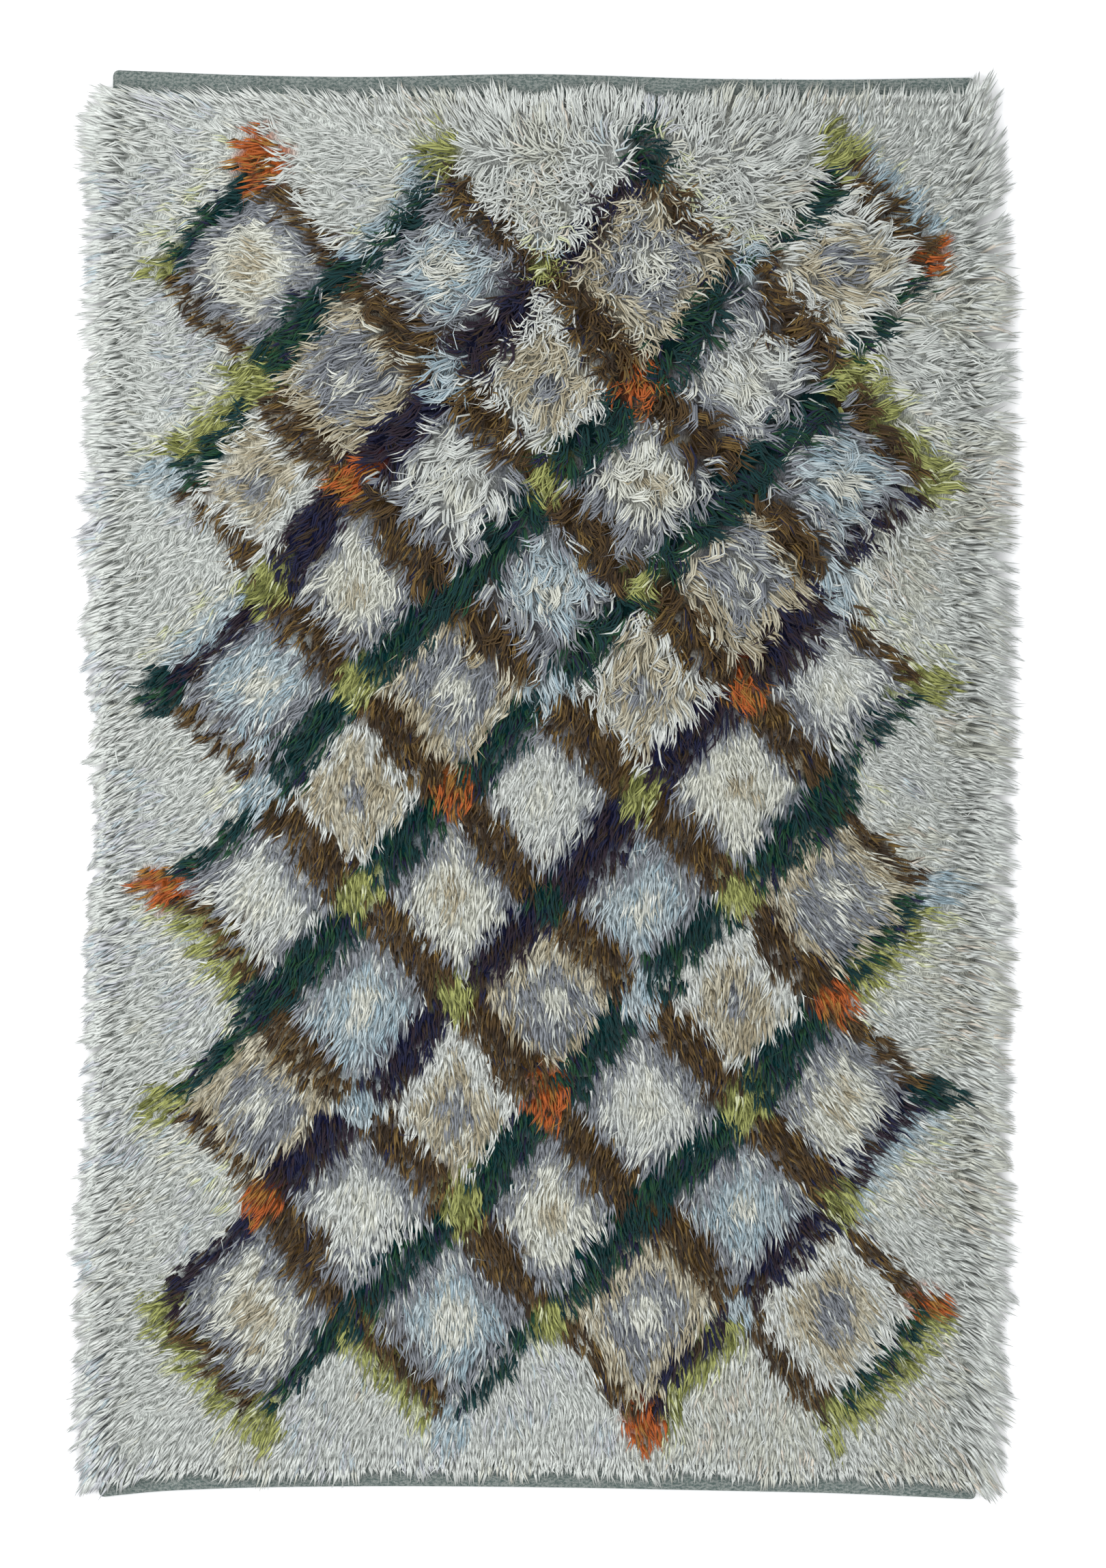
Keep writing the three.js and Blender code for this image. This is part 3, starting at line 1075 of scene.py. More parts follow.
    def reach(self, x: np.ndarray, y: np.ndarray, heading: np.ndarray) -> np.ndarray:
        """How far a lock may run from its root before it meets the outline of the tips."""
        cosine, sine = np.cos(heading), np.sin(heading)
        left, right = self.plan.tip_sides(y)
        near, far = self.plan.tip_ends(x)
        across = np.where(cosine > 0, right - x, x - left) / np.maximum(np.abs(cosine), self.least_slant)
        along = np.where(sine > 0, far - y, y - near) / np.maximum(np.abs(sine), self.least_slant)
        return np.minimum(across, along)

    def paths(self, coat: Coat, roots: Roots, rng: np.random.Generator) -> np.ndarray:
        """Lays every lock of a coat from its root to its tip.

        Each lock rises steeply from its root and then lies along its heading. Locks of one tuft
        share their turn, length, curl and lift. Where the lay parts they criss-cross.

        Args:
            coat: The coat.
            roots: The locks' roots.
            rng: The random numbers.

        Returns:
            The path points, locks by stations by XYZ.
        """
        combing = self.combing
        tufts = coat.bunches.find(roots.x, roots.y)
        middle_x, middle_y = tufts.mean(roots.x), tufts.mean(roots.y)
        inside = self.plan.depth_inside_tips(roots.x, roots.y)
        tangle, parting = self.lay.tangle(middle_x, middle_y)
        tangle = tangle * combing.off_tips(inside)
        mood = (tangle, parting, roots.wisp)
        count = len(tangle)

        heading = self.lay.heading(middle_x, middle_y) + combing.tuft_turn(*mood) * tufts.turned
        heading = heading + combing.lock_turn(*mood) * rng.normal(0.0, 1.0, count)
        length = self.lengths(coat, roots, tufts, heading, rng) * combing.length_kept(*mood)
        curl = combing.tuft_curl(*mood) * tufts.curled
        curl = curl + combing.lock_curl(*mood) * rng.normal(0.0, 1.0, count)
        bow = combing.tuft_bow(*mood) * tufts.lifted + rng.normal(0.0, combing.lock_bow, count)
        px, py = self.runs(coat, roots, heading, length, curl, bow)

        drawn = coat.gather + combing.tangle_gather * tangle
        drawn = drawn + combing.side_gather * combing.towards_side(np.abs(middle_x))
        drawn = drawn * (1.0 - combing.wisp_freedom * roots.wisp) * (1.0 - parting)
        for values in (px, py):
            for station, along in enumerate(coat.column("along")):
                centre = tufts.mean(values[:, station])
                values[:, station] += drawn * along * (centre - values[:, station])

        lift = coat.lift + combing.tuft_lift(*mood) * tufts.lifted + combing.wisp_lift * roots.wisp
        lift = np.clip(lift + rng.normal(0.0, combing.lock_lift, count), *combing.lift_range)
        lift = lift + combing.rim_lift * (1.0 - combing.inside_rim(inside))
        ground = self.floor(px, py)
        base = ground + combing.clearance
        top = self.surface(px, py) * lift[:, None]
        pz = base + np.maximum(top - base, combing.least_rise) * coat.column("rise")[None, :]
        girth = coat.radius * coat.flatness * np.maximum(coat.column("girth"), combing.least_girth)
        return np.stack([px, py, np.maximum(pz, ground + girth[None, :])], axis=2)

    def lengths(
        self, coat: Coat, roots: Roots, tufts: Tufts, heading: np.ndarray, rng: np.random.Generator
    ) -> np.ndarray:
        """How far each lock runs: its tuft's length, drawn out or cut short at the rug's outline.

        Args:
            coat: The coat.
            roots: The locks' roots.
            tufts: Their tufts.
            heading: Their headings.
            rng: The random numbers.

        Returns:
            The lengths as seen from above.
        """
        count = len(heading)
        combing = self.combing
        middle, half_range = (coat.shortest + coat.longest) / 2, (coat.longest - coat.shortest) / 2
        spread = combing.tuft_length * tufts.lengthened + rng.normal(0.0, combing.lock_length, count)
        spread = np.clip(spread, -combing.length_limit, combing.length_limit)
        length = (middle + half_range * spread) * (1.0 + combing.wisp_length * roots.wisp)
        room = self.reach(roots.x, roots.y, heading)
        at_side = self.at_side(roots.x, roots.y)
        rag = combing.rag_depth * combing.rag(roots.x, roots.y) + combing.tuft_rag * tufts.ragged
        room = room + combing.overshoot + combing.side_overshoot * at_side + rag
        near, far = self.plan.tip_ends(roots.x)
        at_end = 1.0 - combing.end_rows(np.minimum(roots.y - near, far - roots.y))
        drawn_out = np.minimum(room, combing.most_drawn_out * coat.longest)
        drawn_out = drawn_out * rng.uniform(*combing.drawn_out_range, count)
        length = length + (np.maximum(drawn_out, length) - length) * np.maximum(at_side, at_end)
        edge = room + rng.normal(0.0, combing.edge_spread, count) + combing.wisp_overshoot * roots.wisp
        return np.maximum(np.minimum(length, edge), combing.shortest)

    def runs(
        self,
        coat: Coat,
        roots: Roots,
        heading: np.ndarray,
        length: np.ndarray,
        curl: np.ndarray,
        bow: np.ndarray,
    ) -> tuple[np.ndarray, np.ndarray]:
        """The locks' paths as seen from above.

        Args:
            coat: The coat.
            roots: The locks' roots.
            heading: Their headings.
            length: Their lengths.
            curl: How much each turns from root to tip.
            bow: How far each swings to one side, in millimetres.

        Returns:
            X and Y, locks by stations.
        """
        along = coat.column("along")
        middles = (along[1:] + along[:-1]) / 2
        turn = self.combing.curl_turn * curl[:, None] * (middles - self.combing.curl_from)[None, :]
        angle = heading[:, None] + turn
        step = length[:, None] * np.diff(along)[None, :]
        start = np.zeros((len(heading), 1))
        side = bow[:, None] * coat.column("bow")[None, :]
        across = np.concatenate([start, np.cumsum(step * np.cos(angle), axis=1)], axis=1)
        onwards = np.concatenate([start, np.cumsum(step * np.sin(angle), axis=1)], axis=1)
        px = roots.x[:, None] + across - side * np.sin(heading)[:, None]
        py = roots.y[:, None] + onwards + side * np.cos(heading)[:, None]
        return px, py

    def widths(self, coat: Coat, roots: Roots, rng: np.random.Generator) -> np.ndarray:
        """The locks' radii: wisps thin, the locks at the sides stouter."""
        stoutness = 1.0 + self.combing.rim_stoutness * self.at_side(roots.x, roots.y)
        width = coat.radius * stoutness * rng.uniform(*self.combing.width_range, len(roots.x))
        return width * np.where(roots.wisp, self.combing.wisp_width, 1.0)

    def tubes(
        self, coat: Coat, paths: np.ndarray, width: np.ndarray, rng: np.random.Generator
    ) -> np.ndarray:
        """Wraps each path in rings of points, with a point at its tip.

        A ring point is path + radius * (side * cos(angle) + flatness * normal * sin(angle)), where
        side is level and square to the path, and normal is square to both.

        Args:
            coat: The coat.
            paths: Locks by stations by XYZ.
            width: The locks' radii.
            rng: The random numbers.

        Returns:
            Locks by ring points and tip by XYZ.
        """
        count, rings = len(paths), len(coat.stations) - 1
        tangent = np.gradient(paths, axis=1)[:, :rings]
        tangent = tangent / np.linalg.norm(tangent, axis=2, keepdims=True)
        level = np.hypot(tangent[..., 0], tangent[..., 1])[..., None]
        side = np.stack([tangent[..., 1], -tangent[..., 0], np.zeros((count, rings))], axis=2) / level
        normal = np.cross(side, tangent)
        thickness = width[:, None] * coat.column("girth")[None, :rings]
        tilt = rng.normal(0.0, self.combing.twist, count)
        corner = 2 * math.pi * np.arange(self.sides) / self.sides - math.pi / 2
        angle = tilt[:, None, None] + corner[None, None, :]
        offset = (
            side[:, :, None, :] * np.cos(angle)[..., None]
            + normal[:, :, None, :] * np.sin(angle)[..., None] * coat.flatness
        )
        ring = paths[:, :rings, None, :] + thickness[:, :, None, None] * offset
        points = np.concatenate([ring.reshape(count, rings * self.sides, 3), paths[:, -1:, :]], axis=1)
        points[..., 2] = np.maximum(points[..., 2], self.combing.clearance)
        return points

    def lock_faces(self, rings: int) -> tuple[np.ndarray, np.ndarray, np.ndarray]:
        """The faces of one lock, and where each corner lies in the lock's square of the map.

        Args:
            rings: How many rings of points the lock has before its tip.

        Returns:
            The corners' point numbers, the faces' sizes, and the corners' places from 0 to 1.
        """
        sides = self.sides
        tip = rings * sides
        corners, sizes, places = [], [], []
        rise = np.linspace(self.map_foot, 1.0 - self.map_margin, rings + 1)
        across = np.linspace(self.map_margin, 1.0 - self.map_margin, sides + 1)
        for ring in range(rings):
            for side in range(sides):
                after = (side + 1) % sides
                left, right = across[side], across[side + 1]
                low, high = rise[ring], rise[ring + 1]
                here = ring * sides
                if ring + 1 < rings:
                    above = here + sides
                    corners += [here + side, above + side, above + after, here + after]
                    places += [(left, low), (left, high), (right, high), (right, low)]
                    sizes.append(4)
                else:
                    corners += [here + side, tip, here + after]
                    places += [(left, low), ((left + right) / 2, high), (right, low)]
                    sizes.append(3)
        corners += list(range(sides))
        places += self.root_map
        sizes.append(sides)
        return np.array(corners), np.array(sizes), np.array(places)

    def wool(self, roots: Roots, knots: Knots, rng: np.random.Generator) -> np.ndarray:
        """Dyes every lock of a coat after its knot, and paints shade on it towards the right.

        Args:
            roots: The locks' roots.
            knots: All knots.
            rng: The random numbers.

        Returns:
            A linear colour for each lock.
        """
        x, y = knots.x[roots.knot], knots.y[roots.knot]
        count, dyeing = len(x), self.dyeing
        chance = dyeing.knot_share * knots.dye[roots.knot] + dyeing.lock_share * rng.random(count)
        wool = self.pattern.colours(self.pattern.patches(x, y), chance)
        tone = 1.0 + dyeing.abrash_depth * dyeing.abrash(x, y) + dyeing.knot_tone * knots.tone[roots.knot]
        tone = tone + rng.normal(0.0, dyeing.lock_tone, count)
        # painted shade: the wool darkens towards the right, where less light falls
        tone = tone - dyeing.painted_shade_rightwards * dyeing.rightwards(x)
        return np.clip(wool * tone[:, None], dyeing.darkest, dyeing.lightest)

    def locks(self, coat: Coat, knots: Knots, rng: np.random.Generator) -> Locks:
        """Makes all locks of a coat.

        Args:
            coat: The coat.
            knots: All knots.
            rng: The random numbers.

        Returns:
            Their arrays.
        """
        roots = self.roots(coat, knots, rng)
        paths = self.paths(coat, roots, rng)
        points = self.tubes(coat, paths, self.widths(coat, roots, rng), rng)
        wool = self.wool(roots, knots, rng)
        # painted shade along each lock, darkest at its root, multiplied into its wool's colour
        stations = coat.column("shade")
        shade = np.concatenate([np.repeat(stations[:-1], self.sides), stations[-1:]])
        faces, sizes, places = self.lock_faces(len(coat.stations) - 1)
        shift = np.arange(len(wool))[:, None] * np.array(self.streak_shift)
        streaks = shift[:, None, :] + (places * (coat.streaks_around, self.streaks_along))[None]
        colours = wool[:, None, :] * shade[None, :, None]
        return Locks(points, colours, faces, sizes, places, streaks, roots.x)

    def build(self) -> list[bpy.types.Object]:
        """Makes the pile in lengthwise strips, each with its locks of every coat.

        Returns:
            The strips, from left to right.
        """
        rng = np.random.default_rng(self.seed)
        knots = self.knots(rng)
        coats = [self.locks(coat, knots, rng) for coat in self.coats]
        edges = np.quantile(knots.x, np.linspace(0.0, 1.0, self.strips + 1)[1:-1])
        return [self.strip(number, coats, edges) for number in range(self.strips)]

    def strip(self, number: int, coats: list[Locks], edges: np.ndarray) -> bpy.types.Object:
        """Makes one lengthwise strip of the pile.

        Args:
            number: Which strip, counted from the left.
            coats: The locks of every coat.
            edges: The X at which one strip ends and the next begins.

        Returns:
            The strip's mesh, in which every lock has a square of its own in the map.
        """
        held = [np.flatnonzero(np.searchsorted(edges, locks.root_x) == number) for locks in coats]
        cells = math.ceil(math.sqrt(sum(len(here) for here in held)))
        points, colours, corners, sizes, squares, streaks = [], [], [], [], [], []
        first_point, first_lock = 0, 0
        for locks, here in zip(coats, held):
            per_lock = locks.points.shape[1]
            points.append(locks.points[here].reshape(-1, 3))
            colours.append(locks.colours[here].reshape(-1, 3))
            start = first_point + per_lock * np.arange(len(here))
            corners.append((locks.faces[None, :] + start[:, None]).ravel())
            sizes.append(np.tile(locks.sizes, len(here)))
            square = first_lock + np.arange(len(here))
            corner = np.stack([square % cells, square // cells], axis=1)
            squares.append(((corner[:, None, :] + locks.places[None]) / cells).reshape(-1, 2))
            streaks.append(locks.streaks[here].reshape(-1, 2))
            first_point += per_lock * len(here)
            first_lock += len(here)
        name = f"pile_strip_{number + 1}"
        piece = MeshKit.build(name, np.concatenate(points), np.concatenate(corners), np.concatenate(sizes))
        MeshKit.colours(piece, "wool", np.concatenate(colours))
        MeshKit.corner_map(piece, "OFBake", np.concatenate(squares))
        MeshKit.corner_map(piece, "fibres", np.concatenate(streaks))
        return piece

    def dress(self, pieces: list[bpy.types.Object]) -> None:
        """Gives the strips their wool and hangs them on the frame."""
        wool = WoolFinish().material()
        for piece in pieces:
            hang(piece, wool, self.node)


@dataclass(frozen=True)
class WoolFinish:
    """Soft spun wool: the lock's own colour with fine fibres along it and a faint sheen."""

    fibre_depth: float = 0.0012
    fibre_strength: float = 0.2
    darkest: float = 0.6
    fibre_contrast: float = 0.64
    blotch_contrast: float = 0.16
    blotches_per_metre: float = 90.0
    sheen: float = 0.06
    roughness: float = 0.9

    def material(self) -> bpy.types.Material:
        """Makes the finish from the wool attribute and the map of fibres."""
        board = Board("wool_locks")
        across_lock = board.add("ShaderNodeUVMap", {"uv_map": "fibres"}, {})
        fibres = board.noise(across_lock, 1.0, roughness=0.6)
        blotches = board.noise(board.place(), self.blotches_per_metre)
        tone = self.darkest + self.fibre_contrast * fibres + self.blotch_contrast * blotches
        colour = board.scaled(board.wool("wool"), tone)
        fixed = {
            "Roughness": self.roughness,
            "Specular IOR Level": 0.2,
            "Sheen Weight": self.sheen,
            "Sheen Roughness": 0.5,
        }
        return board.bumped(colour, fibres, self.fibre_depth, self.fibre_strength, fixed)


@dataclass(frozen=True)
class MattedFinish:
    """Wool felted together at the roots, in its own dyes, with painted shade darkening each crease between
    its strands.
    """

    lumps_per_metre: float = 560.0
    lump_stretch: tuple[float, float, float] = (1.0, 0.3, 1.0)
    painted_crease_shade: tuple[float, float] = (0.36, 0.64)
    darkest: float = 0.55
    contrast: float = 0.8
    depth: float = 0.003
    strength: float = 0.8
    swirls_per_metre: float = 30.0
    swirl_reach: float = 0.02

    def material(self) -> bpy.types.Material:
        """Makes the finish from the wool attribute."""
        board = Board("wool_mat")
        at = board.place()
        swirl = board.scaled(board.noise(at, self.swirls_per_metre, 1.0, output="Color"), self.swirl_reach)
        swirled = board.add("ShaderNodeVectorMath", {"operation": "ADD"}, {0: at, 1: swirl})
        strands = board.stretched(swirled, self.lump_stretch)
        lumps = board.noise(strands, self.lumps_per_metre, roughness=0.6)
        # painted shade: the tone is darkest in the lumps' low places, each crease between strands, which
        # the bump sinks too
        tone = self.darkest + self.contrast * lumps.between(*self.painted_crease_shade)
        colour = board.scaled(board.wool("wool"), tone)
        fixed = {"Roughness": 0.95, "Specular IOR Level": 0.1}
        return board.bumped(colour, lumps, self.depth, self.strength, fixed)


@dataclass
class PileMat:
    """The matted lower part of the pile, which shows dark between the locks with painted shade, deepest
    where the pile is tangled.
    """

    plan: Plan
    pattern: Pattern
    pile: Pile
    cells_across: int = 46
    cells_along: int = 70
    inset: float = 20.0
    share_of_height: float = 0.54
    side_slope: Rise = Rise(-20.0, 60.0)
    underside: float = 3.0
    least_thickness: float = 1.0
    side_inset: float = 2.5
    combed_painted_shade: float = 0.94
    tangled_painted_shade: float = 0.4

    def build(self) -> bpy.types.Object:
        """Makes a closed slab: a grid on top, its copy flat underneath, and a wall round them.

        Returns:
            The piece.
        """
        columns, rows = self.cells_across + 1, self.cells_along + 1
        s, t = np.meshgrid(np.linspace(0.0, 1.0, columns), np.linspace(0.0, 1.0, rows))
        middle_near, middle_far = self.plan.tip_ends(np.array([0.0]))
        rough = middle_near + (middle_far - middle_near) * t
        left, right = self.plan.cloth_sides(rough)
        x = left + self.side_inset + (right - left - 2 * self.side_inset) * s
        near, far = self.plan.tip_ends(x)
        y = near + self.inset + (far - near - 2 * self.inset) * t
        rounded = self.side_slope(np.minimum(x - left, right - x))
        height = self.pile.surface(x, y) * self.share_of_height * rounded
        top = np.maximum(height, self.underside + self.least_thickness)
        upper = np.stack([x, y, top], axis=2).reshape(-1, 3)
        lower = np.stack([x, y, np.full_like(x, self.underside)], axis=2).reshape(-1, 3)
        count = rows * columns
        number = np.arange(count).reshape(rows, columns)
        a, b = number[:-1, :-1].ravel(), number[:-1, 1:].ravel()
        c, d = number[1:, 1:].ravel(), number[1:, :-1].ravel()
        rim = np.concatenate([number[0, :-1], number[:-1, -1], number[-1, :0:-1], number[:0:-1, 0]])
        after = np.roll(rim, -1)
        faces = np.concatenate(
            [
                np.stack([a, b, c, d], axis=1),
                np.stack([d, c, b, a], axis=1) + count,
                np.stack([rim + count, after + count, after, rim], axis=1),
            ]
        )
        points = np.concatenate([upper, lower])
        piece = MeshKit.build("pile_mat", points, faces.ravel(), np.full(len(faces), 4))
        patches = self.pattern.patches(points[:, 0], points[:, 1])
        tangle, _ = self.pile.lay.tangle(points[:, 0], points[:, 1])
        tangled = self.pile.curling(tangle)
        # painted shade: the mat's wool a little darker where combed and much darker where tangled, as gaps
        # in shadow
        shade = self.combed_painted_shade + (self.tangled_painted_shade - self.combed_painted_shade) * tangled
        colours = self.pattern.colours(patches, np.zeros(len(points)))
        MeshKit.colours(piece, "wool", colours * shade[:, None])
        return piece

    def dress(self, piece: bpy.types.Object) -> None:
        """Gives the mat its wool and hangs it on the frame."""
        hang(piece, MattedFinish().material(), self.pile.node)


@dataclass
class GroundWeave:
    """The flat-woven cloth that carries the knots, its two ends turned under once as hems."""

    plan: Plan
    pattern: Pattern
    node: str = "ground_weave"
    slot: str = "ground_weave"
    thickness: float = 2.6
    hem_depth: float = 32.0
    hem_gap: float = 0.4
    hem_ramp: float = 10.0
    corner_radius: float = 8.0
    fold_steps: int = 8
    hem_steps: int = 5
    columns: int = 72
    body_rows: int = 40

    def hem_section(self) -> np.ndarray:
        """Half of the lengthwise section: ramp, upper layer, fold and turned-under layer.

        The fold is half a circle of radius (2 * thickness + gap) / 2.

        Returns:
            Rows of inset from the fold and height, from the cloth's top round to its underside.
        """
        top = 2 * self.thickness + self.hem_gap
        radius = top / 2
        turn = np.linspace(0.0, math.pi, self.fold_steps + 1)
        flat = np.linspace(self.hem_depth, radius, self.hem_steps + 1)[:-1]
        under = flat[::-1]
        inner = top - self.thickness
        parts = [
            [(self.hem_depth + self.hem_ramp, self.thickness)],
            [(inset, top) for inset in flat],
            list(zip(radius * (1 - np.sin(turn)), radius * (1 + np.cos(turn)))),
            [(inset, 0.0) for inset in under],
            [(inset, self.thickness) for inset in flat],
            [(radius, self.thickness), (radius - self.hem_gap / 2, radius), (radius, inner)],
            [(inset, inner) for inset in under],
            [(self.hem_depth + self.hem_ramp, 0.0)],
        ]
        return np.array([row for part in parts for row in part])

    def surface(self) -> tuple[np.ndarray, int]:
        """The cloth's closed lengthwise section at each column from selvedge to selvedge.

        Returns:
            Columns by section points by XYZ, and how many points of a section are one hem's.
        """
        middle_left, middle_right = self.plan.cloth_sides(np.array([0.0]))
        width = (middle_right - middle_left)[0]
        corner = self.corner_radius / width
        fine = corner * (1 - np.cos(np.linspace(0.0, math.pi / 2, 5)))[:-1]
        share = np.concatenate([fine, np.linspace(corner, 1 - corner, self.columns), 1 - fine[::-1]])
        edge = np.maximum(self.corner_radius - np.minimum(share, 1 - share) * width, 0.0)
        rounding = self.corner_radius - np.sqrt(self.corner_radius**2 - edge**2)
        near, far = self.plan.cloth_ends(share)
        hem = self.hem_section()
        near_y = (near + rounding)[:, None] + hem[None, :, 0]
        far_y = (far - rounding)[:, None] - hem[None, ::-1, 0]
        run = np.linspace(0.0, 1.0, self.body_rows + 2)[1:-1]
        under_y = near_y[:, -1:] + (far_y[:, :1] - near_y[:, -1:]) * run[None, :]
        y = np.concatenate([near_y, under_y, far_y, under_y[:, ::-1]], axis=1)
        under_z = np.zeros(self.body_rows)
        z = np.concatenate([hem[:, 1], under_z, hem[::-1, 1], under_z + self.thickness])
        left, right = self.plan.cloth_sides(y)
        x = left + (right - left) * share[:, None]
        return np.stack([x, y, np.broadcast_to(z, x.shape)], axis=2), len(hem)

    def cap(self, ring: int, hem: int) -> np.ndarray:
        """The faces that close one selvedge: strips between the facing sides of the section.

        Args:
            ring: How many points a section has.
            hem: How many of them are one hem's.

        Returns:
            Rows of four point numbers within the section.
        """
        flat = self.hem_steps
        top_start, fold_start = 1, 1 + flat
        under_start = fold_start + self.fold_steps + 1
        inner_start = under_start + flat
        slit = inner_start + flat
        upper_start = slit + 3
        last = hem - 1

        def strip(first: list[int], second: list[int]) -> list[tuple[int, int, int, int]]:
            """Four-cornered faces between two runs of points that face each other."""
            return list(zip(first[:-1], first[1:], second[1:], second[:-1]))

        layer_top = [0, *range(top_start, top_start + flat), fold_start]
        layer_under = [last, *range(upper_start + flat - 1, upper_start - 1, -1), slit + 2]
        fold_end = fold_start + self.fold_steps
        turned_under = [*range(under_start + flat - 1, under_start - 1, -1), fold_end]
        turned_top = [*range(inner_start, inner_start + flat), slit]
        fold = list(range(fold_start, fold_end + 1))
        half = self.fold_steps // 2
        inner_fold = [slit + 2] * half + [slit + 1] + [slit] * half
        near = strip(layer_top, layer_under) + strip(turned_top, turned_under) + strip(fold, inner_fold)
        first_far = hem + self.body_rows
        last_far = first_far + hem - 1
        far = [tuple(last_far - place for place in reversed(face)) for face in near]
        under = [last, *range(hem, first_far), first_far]
        top = [0, *range(ring - 1, last_far, -1), last_far]
        return near + far + strip(top, under)

    def build(self) -> bpy.types.Object:
        """Makes the cloth as a closed mesh.

        Returns:
            The piece.
        """
        grid, hem = self.surface()
        columns, ring, _ = grid.shape
        number = np.arange(columns * ring).reshape(columns, ring)
        after = np.roll(number, -1, axis=1)
        body = np.stack([number[:-1], after[:-1], after[1:], number[1:]], axis=2).reshape(-1, 4)
        caps = self.cap(ring, hem)
        corners = list(body.ravel())
        sizes = [4] * len(body)
        for offset, turned in ((0, False), ((columns - 1) * ring, True)):
            for face in caps:
                kept = [place for at, place in enumerate(face) if place != face[at - 1]]
                kept = kept[::-1] if turned else kept
                corners += [offset + place for place in kept]
                sizes.append(len(kept))
        points = grid.reshape(-1, 3)
        piece = MeshKit.build(self.node + "_cloth", points, np.array(corners), np.array(sizes))
        patches = self.pattern.patches(points[:, 0], points[:, 1])
        knotted = np.ones((columns, ring))
        knotted[:, :hem] = 0.0
        knotted[:, hem + self.body_rows : 2 * hem + self.body_rows] = 0.0
        wool = self.pattern.colours(patches, np.zeros(len(points)))
        MeshKit.colours(piece, "knots", np.concatenate([wool, knotted.reshape(-1, 1)], axis=1))
        return piece

    def dress(self, piece: bpy.types.Object, pieces_on_it: list[bpy.types.Object]) -> None:
        hang(piece, WeaveFinish().material(), self.node)
        low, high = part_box(self.node)
        turned = 2 * self.hem_depth * MM
        flat = (high.x - low.x, high.y - low.y + turned)


@dataclass(frozen=True)
class WeaveFinish:
    """A firm weave of finely mottled grey-green wool, with rows of knot backs between the hems."""

    pick_pitch: float = 1.9
    end_pitch: float = 2.6
    row_pitch: float = ROW_PITCH
    knot_pitch: float = KNOT_PITCH
    light: tuple[int, int, int] = (134, 140, 136)
    dark: tuple[int, int, int] = (76, 90, 87)
    waver: float = 0.0008
    wavers_per_metre: float = 80.0
    flecks_per_metre: float = 330.0
    fleck_stretch: tuple[float, float, float] = (0.6, 1.0, 1.0)
    clouds_per_metre: float = 28.0
    row_edges: tuple[float, float] = (0.8, 0.95)
    knot_edges: tuple[float, float] = (0.15, 0.5)
    fleck_edges: tuple[float, float] = (0.35, 0.65)
    darkest_back: float = 0.5
    back_contrast: float = 0.6
    darkest: float = 0.72
    crossing_contrast: float = 0.24
    cloud_contrast: float = 0.26
    fleck_height: float = 0.5
    depth: float = 0.0008
    strength: float = 0.6

    def material(self) -> bpy.types.Material:
        """Makes the finish on Object coordinates."""
        board = Board("ground_weave_wool")
        at = board.place()
        x = board.add("ShaderNodeSeparateXYZ", {}, {0: at}, "X")
        y = board.add("ShaderNodeSeparateXYZ", {}, {0: at}, "Y")
        waver = self.waver * board.noise(at, self.wavers_per_metre)

        def wave(place: Signal, pitch: float) -> Signal:
            """A sine that crosses zero at each pitch, in millimetres."""
            return (math.pi / (pitch * MM) * place).sine()

        crossings = (wave(x + waver, self.end_pitch) * wave(y + waver, self.pick_pitch)).size()
        across_row = wave(y + 2.0 * waver, self.row_pitch).size()
        along_row = wave(x + 2.0 * waver, self.knot_pitch).size()
        backs = across_row.between(*self.row_edges) * along_row.between(*self.knot_edges)
        backs = backs * board.wool("knots", "Alpha")

        flecks = board.noise(board.stretched(at, self.fleck_stretch), self.flecks_per_metre, 3.0, 0.7)
        clouds = board.noise(at, self.clouds_per_metre)
        dark, light = linear_colour(*self.dark), linear_colour(*self.light)
        colour = board.mix(flecks.between(*self.fleck_edges), dark, light)
        back_tone = self.darkest_back + self.back_contrast * flecks
        colour = board.mix(backs, colour, board.scaled(board.wool("knots"), back_tone))
        tone = self.darkest + self.crossing_contrast * crossings + self.cloud_contrast * clouds
        colour = board.scaled(colour, tone)
        fixed = {"Roughness": 0.92, "Specular IOR Level": 0.2, "Sheen Weight": 0.15}
        height = crossings + self.fleck_height * flecks + backs
        return board.bumped(colour, height, self.depth, self.strength, fixed)


@dataclass(frozen=True)
class Lamp:
    """One square lamp that faces the rug's middle, in metres and watts."""

    name: str
    place: tuple[float, float, float]
    size: float
    power: float

    def build(self) -> None:
        """Makes the lamp."""
        data = bpy.data.lights.new(self.name, "AREA")
        data.size = self.size
        data.energy = self.power
        lamp = bpy.data.objects.new(self.name, data)
        lamp.location = self.place
        lamp.rotation_euler = (-Vector(self.place)).to_track_quat("-Z", "Y").to_euler()
        bpy.context.scene.collection.objects.link(lamp)


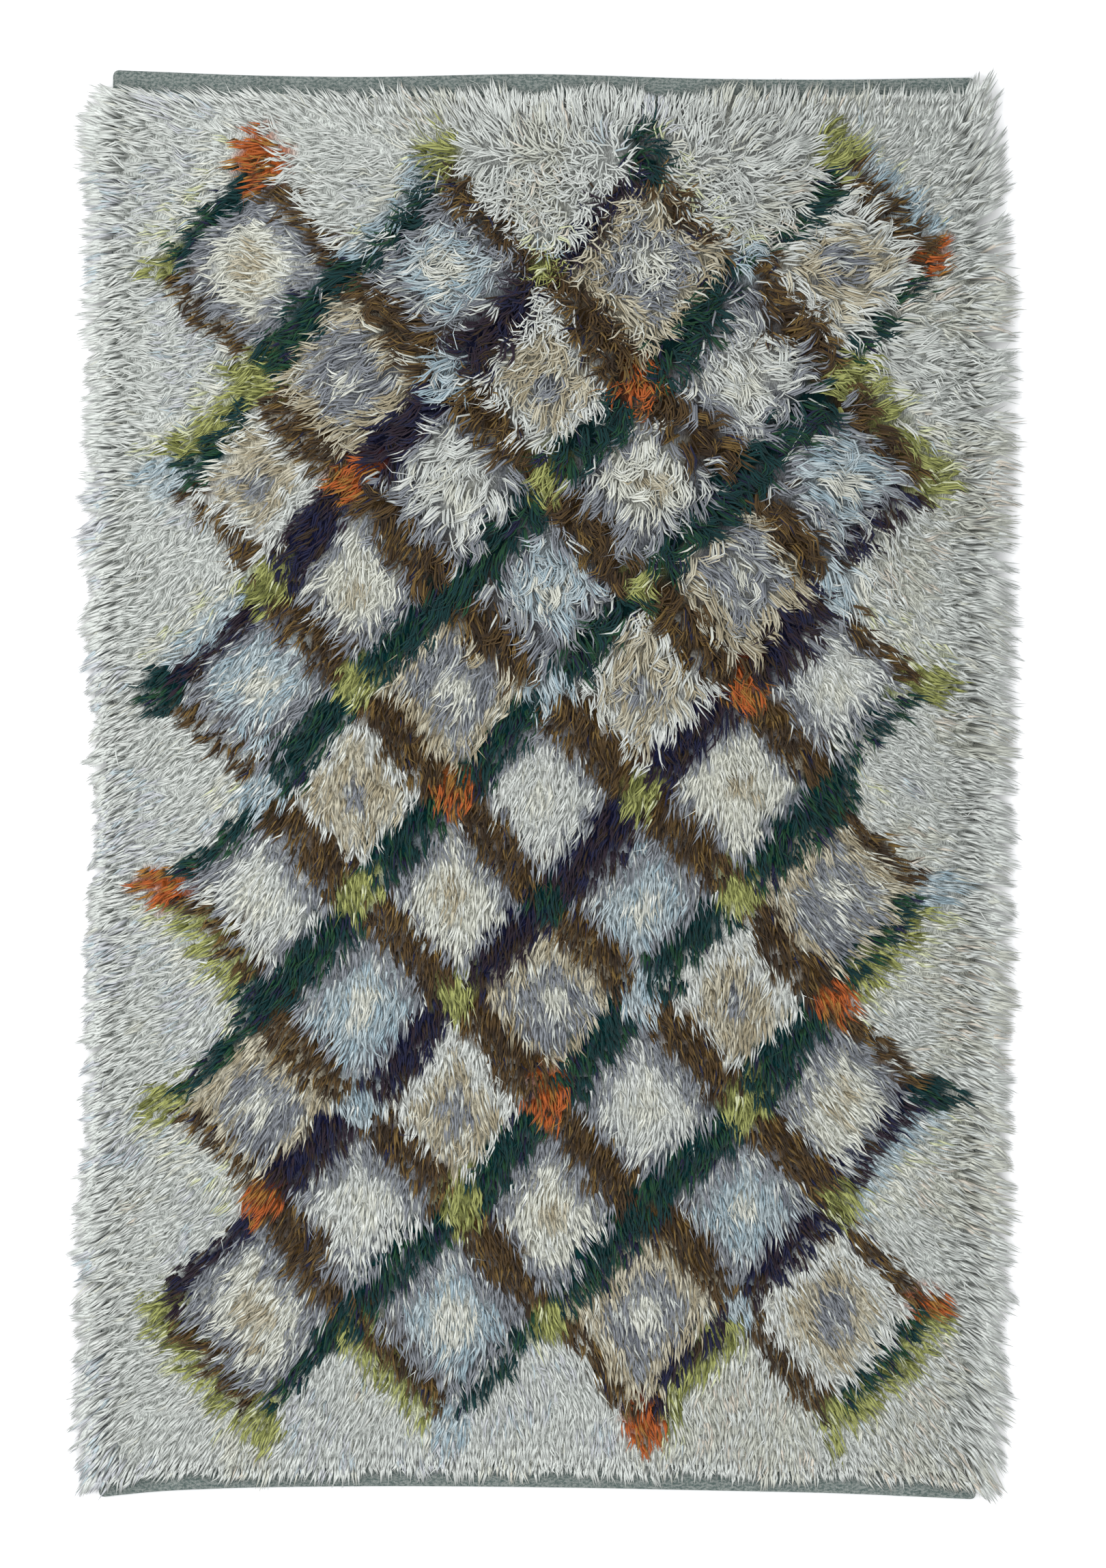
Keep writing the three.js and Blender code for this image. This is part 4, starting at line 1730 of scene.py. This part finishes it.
@dataclass
class Studio:
    """A pale floor, soft light, and a camera straight above the rug, in metres but for the lens."""

    lens: float = 85.0
    sensor: float = 36.0
    nearest: float = 0.05
    farthest: float = 50.0
    floor_size: float = 14.0
    floor_shade: float = 0.93
    floor_roughness: float = 0.9
    sky_colour: tuple[float, float, float] = (0.97, 0.985, 1.0)
    sky_strength: float = 1.06
    lamps: tuple[Lamp, ...] = (
        Lamp("key", (-2.8, 1.2, 2.8), size=2.4, power=70.0),
        Lamp("fill", (0.6, -3.0, 3.0), size=3.0, power=36.0),
    )
    camera_aim_above_floor: float = 0.003

    def build(self) -> None:
        """Makes the floor, the lights and the camera."""
        self.floor()
        self.lights()
        self.camera()
        bpy.context.scene.view_settings.view_transform = "Standard"

    def floor(self) -> None:
        """Makes a plain pale floor at Z 0."""
        half = self.floor_size / 2
        mesh = bpy.data.meshes.new("floor")
        corners = [(-half, -half, 0.0), (half, -half, 0.0), (half, half, 0.0), (-half, half, 0.0)]
        mesh.from_pydata(corners, [], [(0, 1, 2, 3)])
        floor = bpy.data.objects.new("floor", mesh)
        bpy.context.scene.collection.objects.link(floor)
        shade = (self.floor_shade,) * 3 + (1.0,)
        mesh.materials.append(Board("floor_white").shaded(shade, {"Roughness": self.floor_roughness}))

    def lights(self) -> None:
        """Makes a soft sky, a broad lamp at the far left and a weaker one at the near end."""
        world = bpy.data.worlds.new("sky")
        world.use_nodes = True
        background = world.node_tree.nodes["Background"]
        background.inputs["Color"].default_value = (*self.sky_colour, 1.0)
        background.inputs["Strength"].default_value = self.sky_strength
        bpy.context.scene.world = world
        for lamp in self.lamps:
            lamp.build()

    def camera(self) -> None:
        """Hangs the camera over the photograph's middle, high enough to take in its whole frame."""
        data = bpy.data.cameras.new("camera")
        data.lens = self.lens
        data.sensor_width = self.sensor
        data.clip_start = self.nearest
        data.clip_end = self.farthest
        camera = bpy.data.objects.new("camera", data)
        metres_per_px = MM_PER_PX * MM
        middle_x = (PHOTO_WIDTH_PX / 2 - RUG_MIDDLE_PX[0]) * metres_per_px
        middle_y = (RUG_MIDDLE_PX[1] - PHOTO_HEIGHT_PX / 2) * metres_per_px
        distance = PHOTO_HEIGHT_PX * metres_per_px * self.lens / self.sensor
        height = self.camera_aim_above_floor + distance
        camera.location = (middle_x, middle_y, height)
        bpy.context.scene.collection.objects.link(camera)
        bpy.context.scene.camera = camera


@dataclass
class Rug:
    """The whole rug: its plan, cloth, mat and pile."""

    plan: Plan = field(default_factory=Plan)
    pattern: Pattern = field(default_factory=Pattern)

    def settle(self) -> None:
        """Finds the shift that takes the plan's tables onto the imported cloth."""
        grid, _ = GroundWeave(self.plan, self.pattern).surface()
        low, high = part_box("ground_weave")
        drawn = (grid.reshape(-1, 3).min(0) + grid.reshape(-1, 3).max(0)) / 2
        packed = np.array(low + high) / 2 / MM
        self.plan.shift = (packed - drawn)[:2]
        log.info("plan shifted by %.2f, %.2f mm", *self.plan.shift)

    def build(self) -> None:
        """Builds and dresses each part in order."""
        self.settle()
        pile = Pile(self.plan, self.pattern, Lay())
        strips = pile.build()
        pile.dress(strips)
        mat = PileMat(self.plan, self.pattern, pile)
        matted = mat.build()
        mat.dress(matted)
        cloth = GroundWeave(self.plan, self.pattern)
        cloth.dress(cloth.build(), [*strips, matted])


def main() -> None:
    """Builds the studio and the rug."""
    logging.basicConfig(level=logging.INFO, format="%(name)s: %(message)s")
    Studio().build()
    Rug().build()


if __name__ == "__main__":
    main()
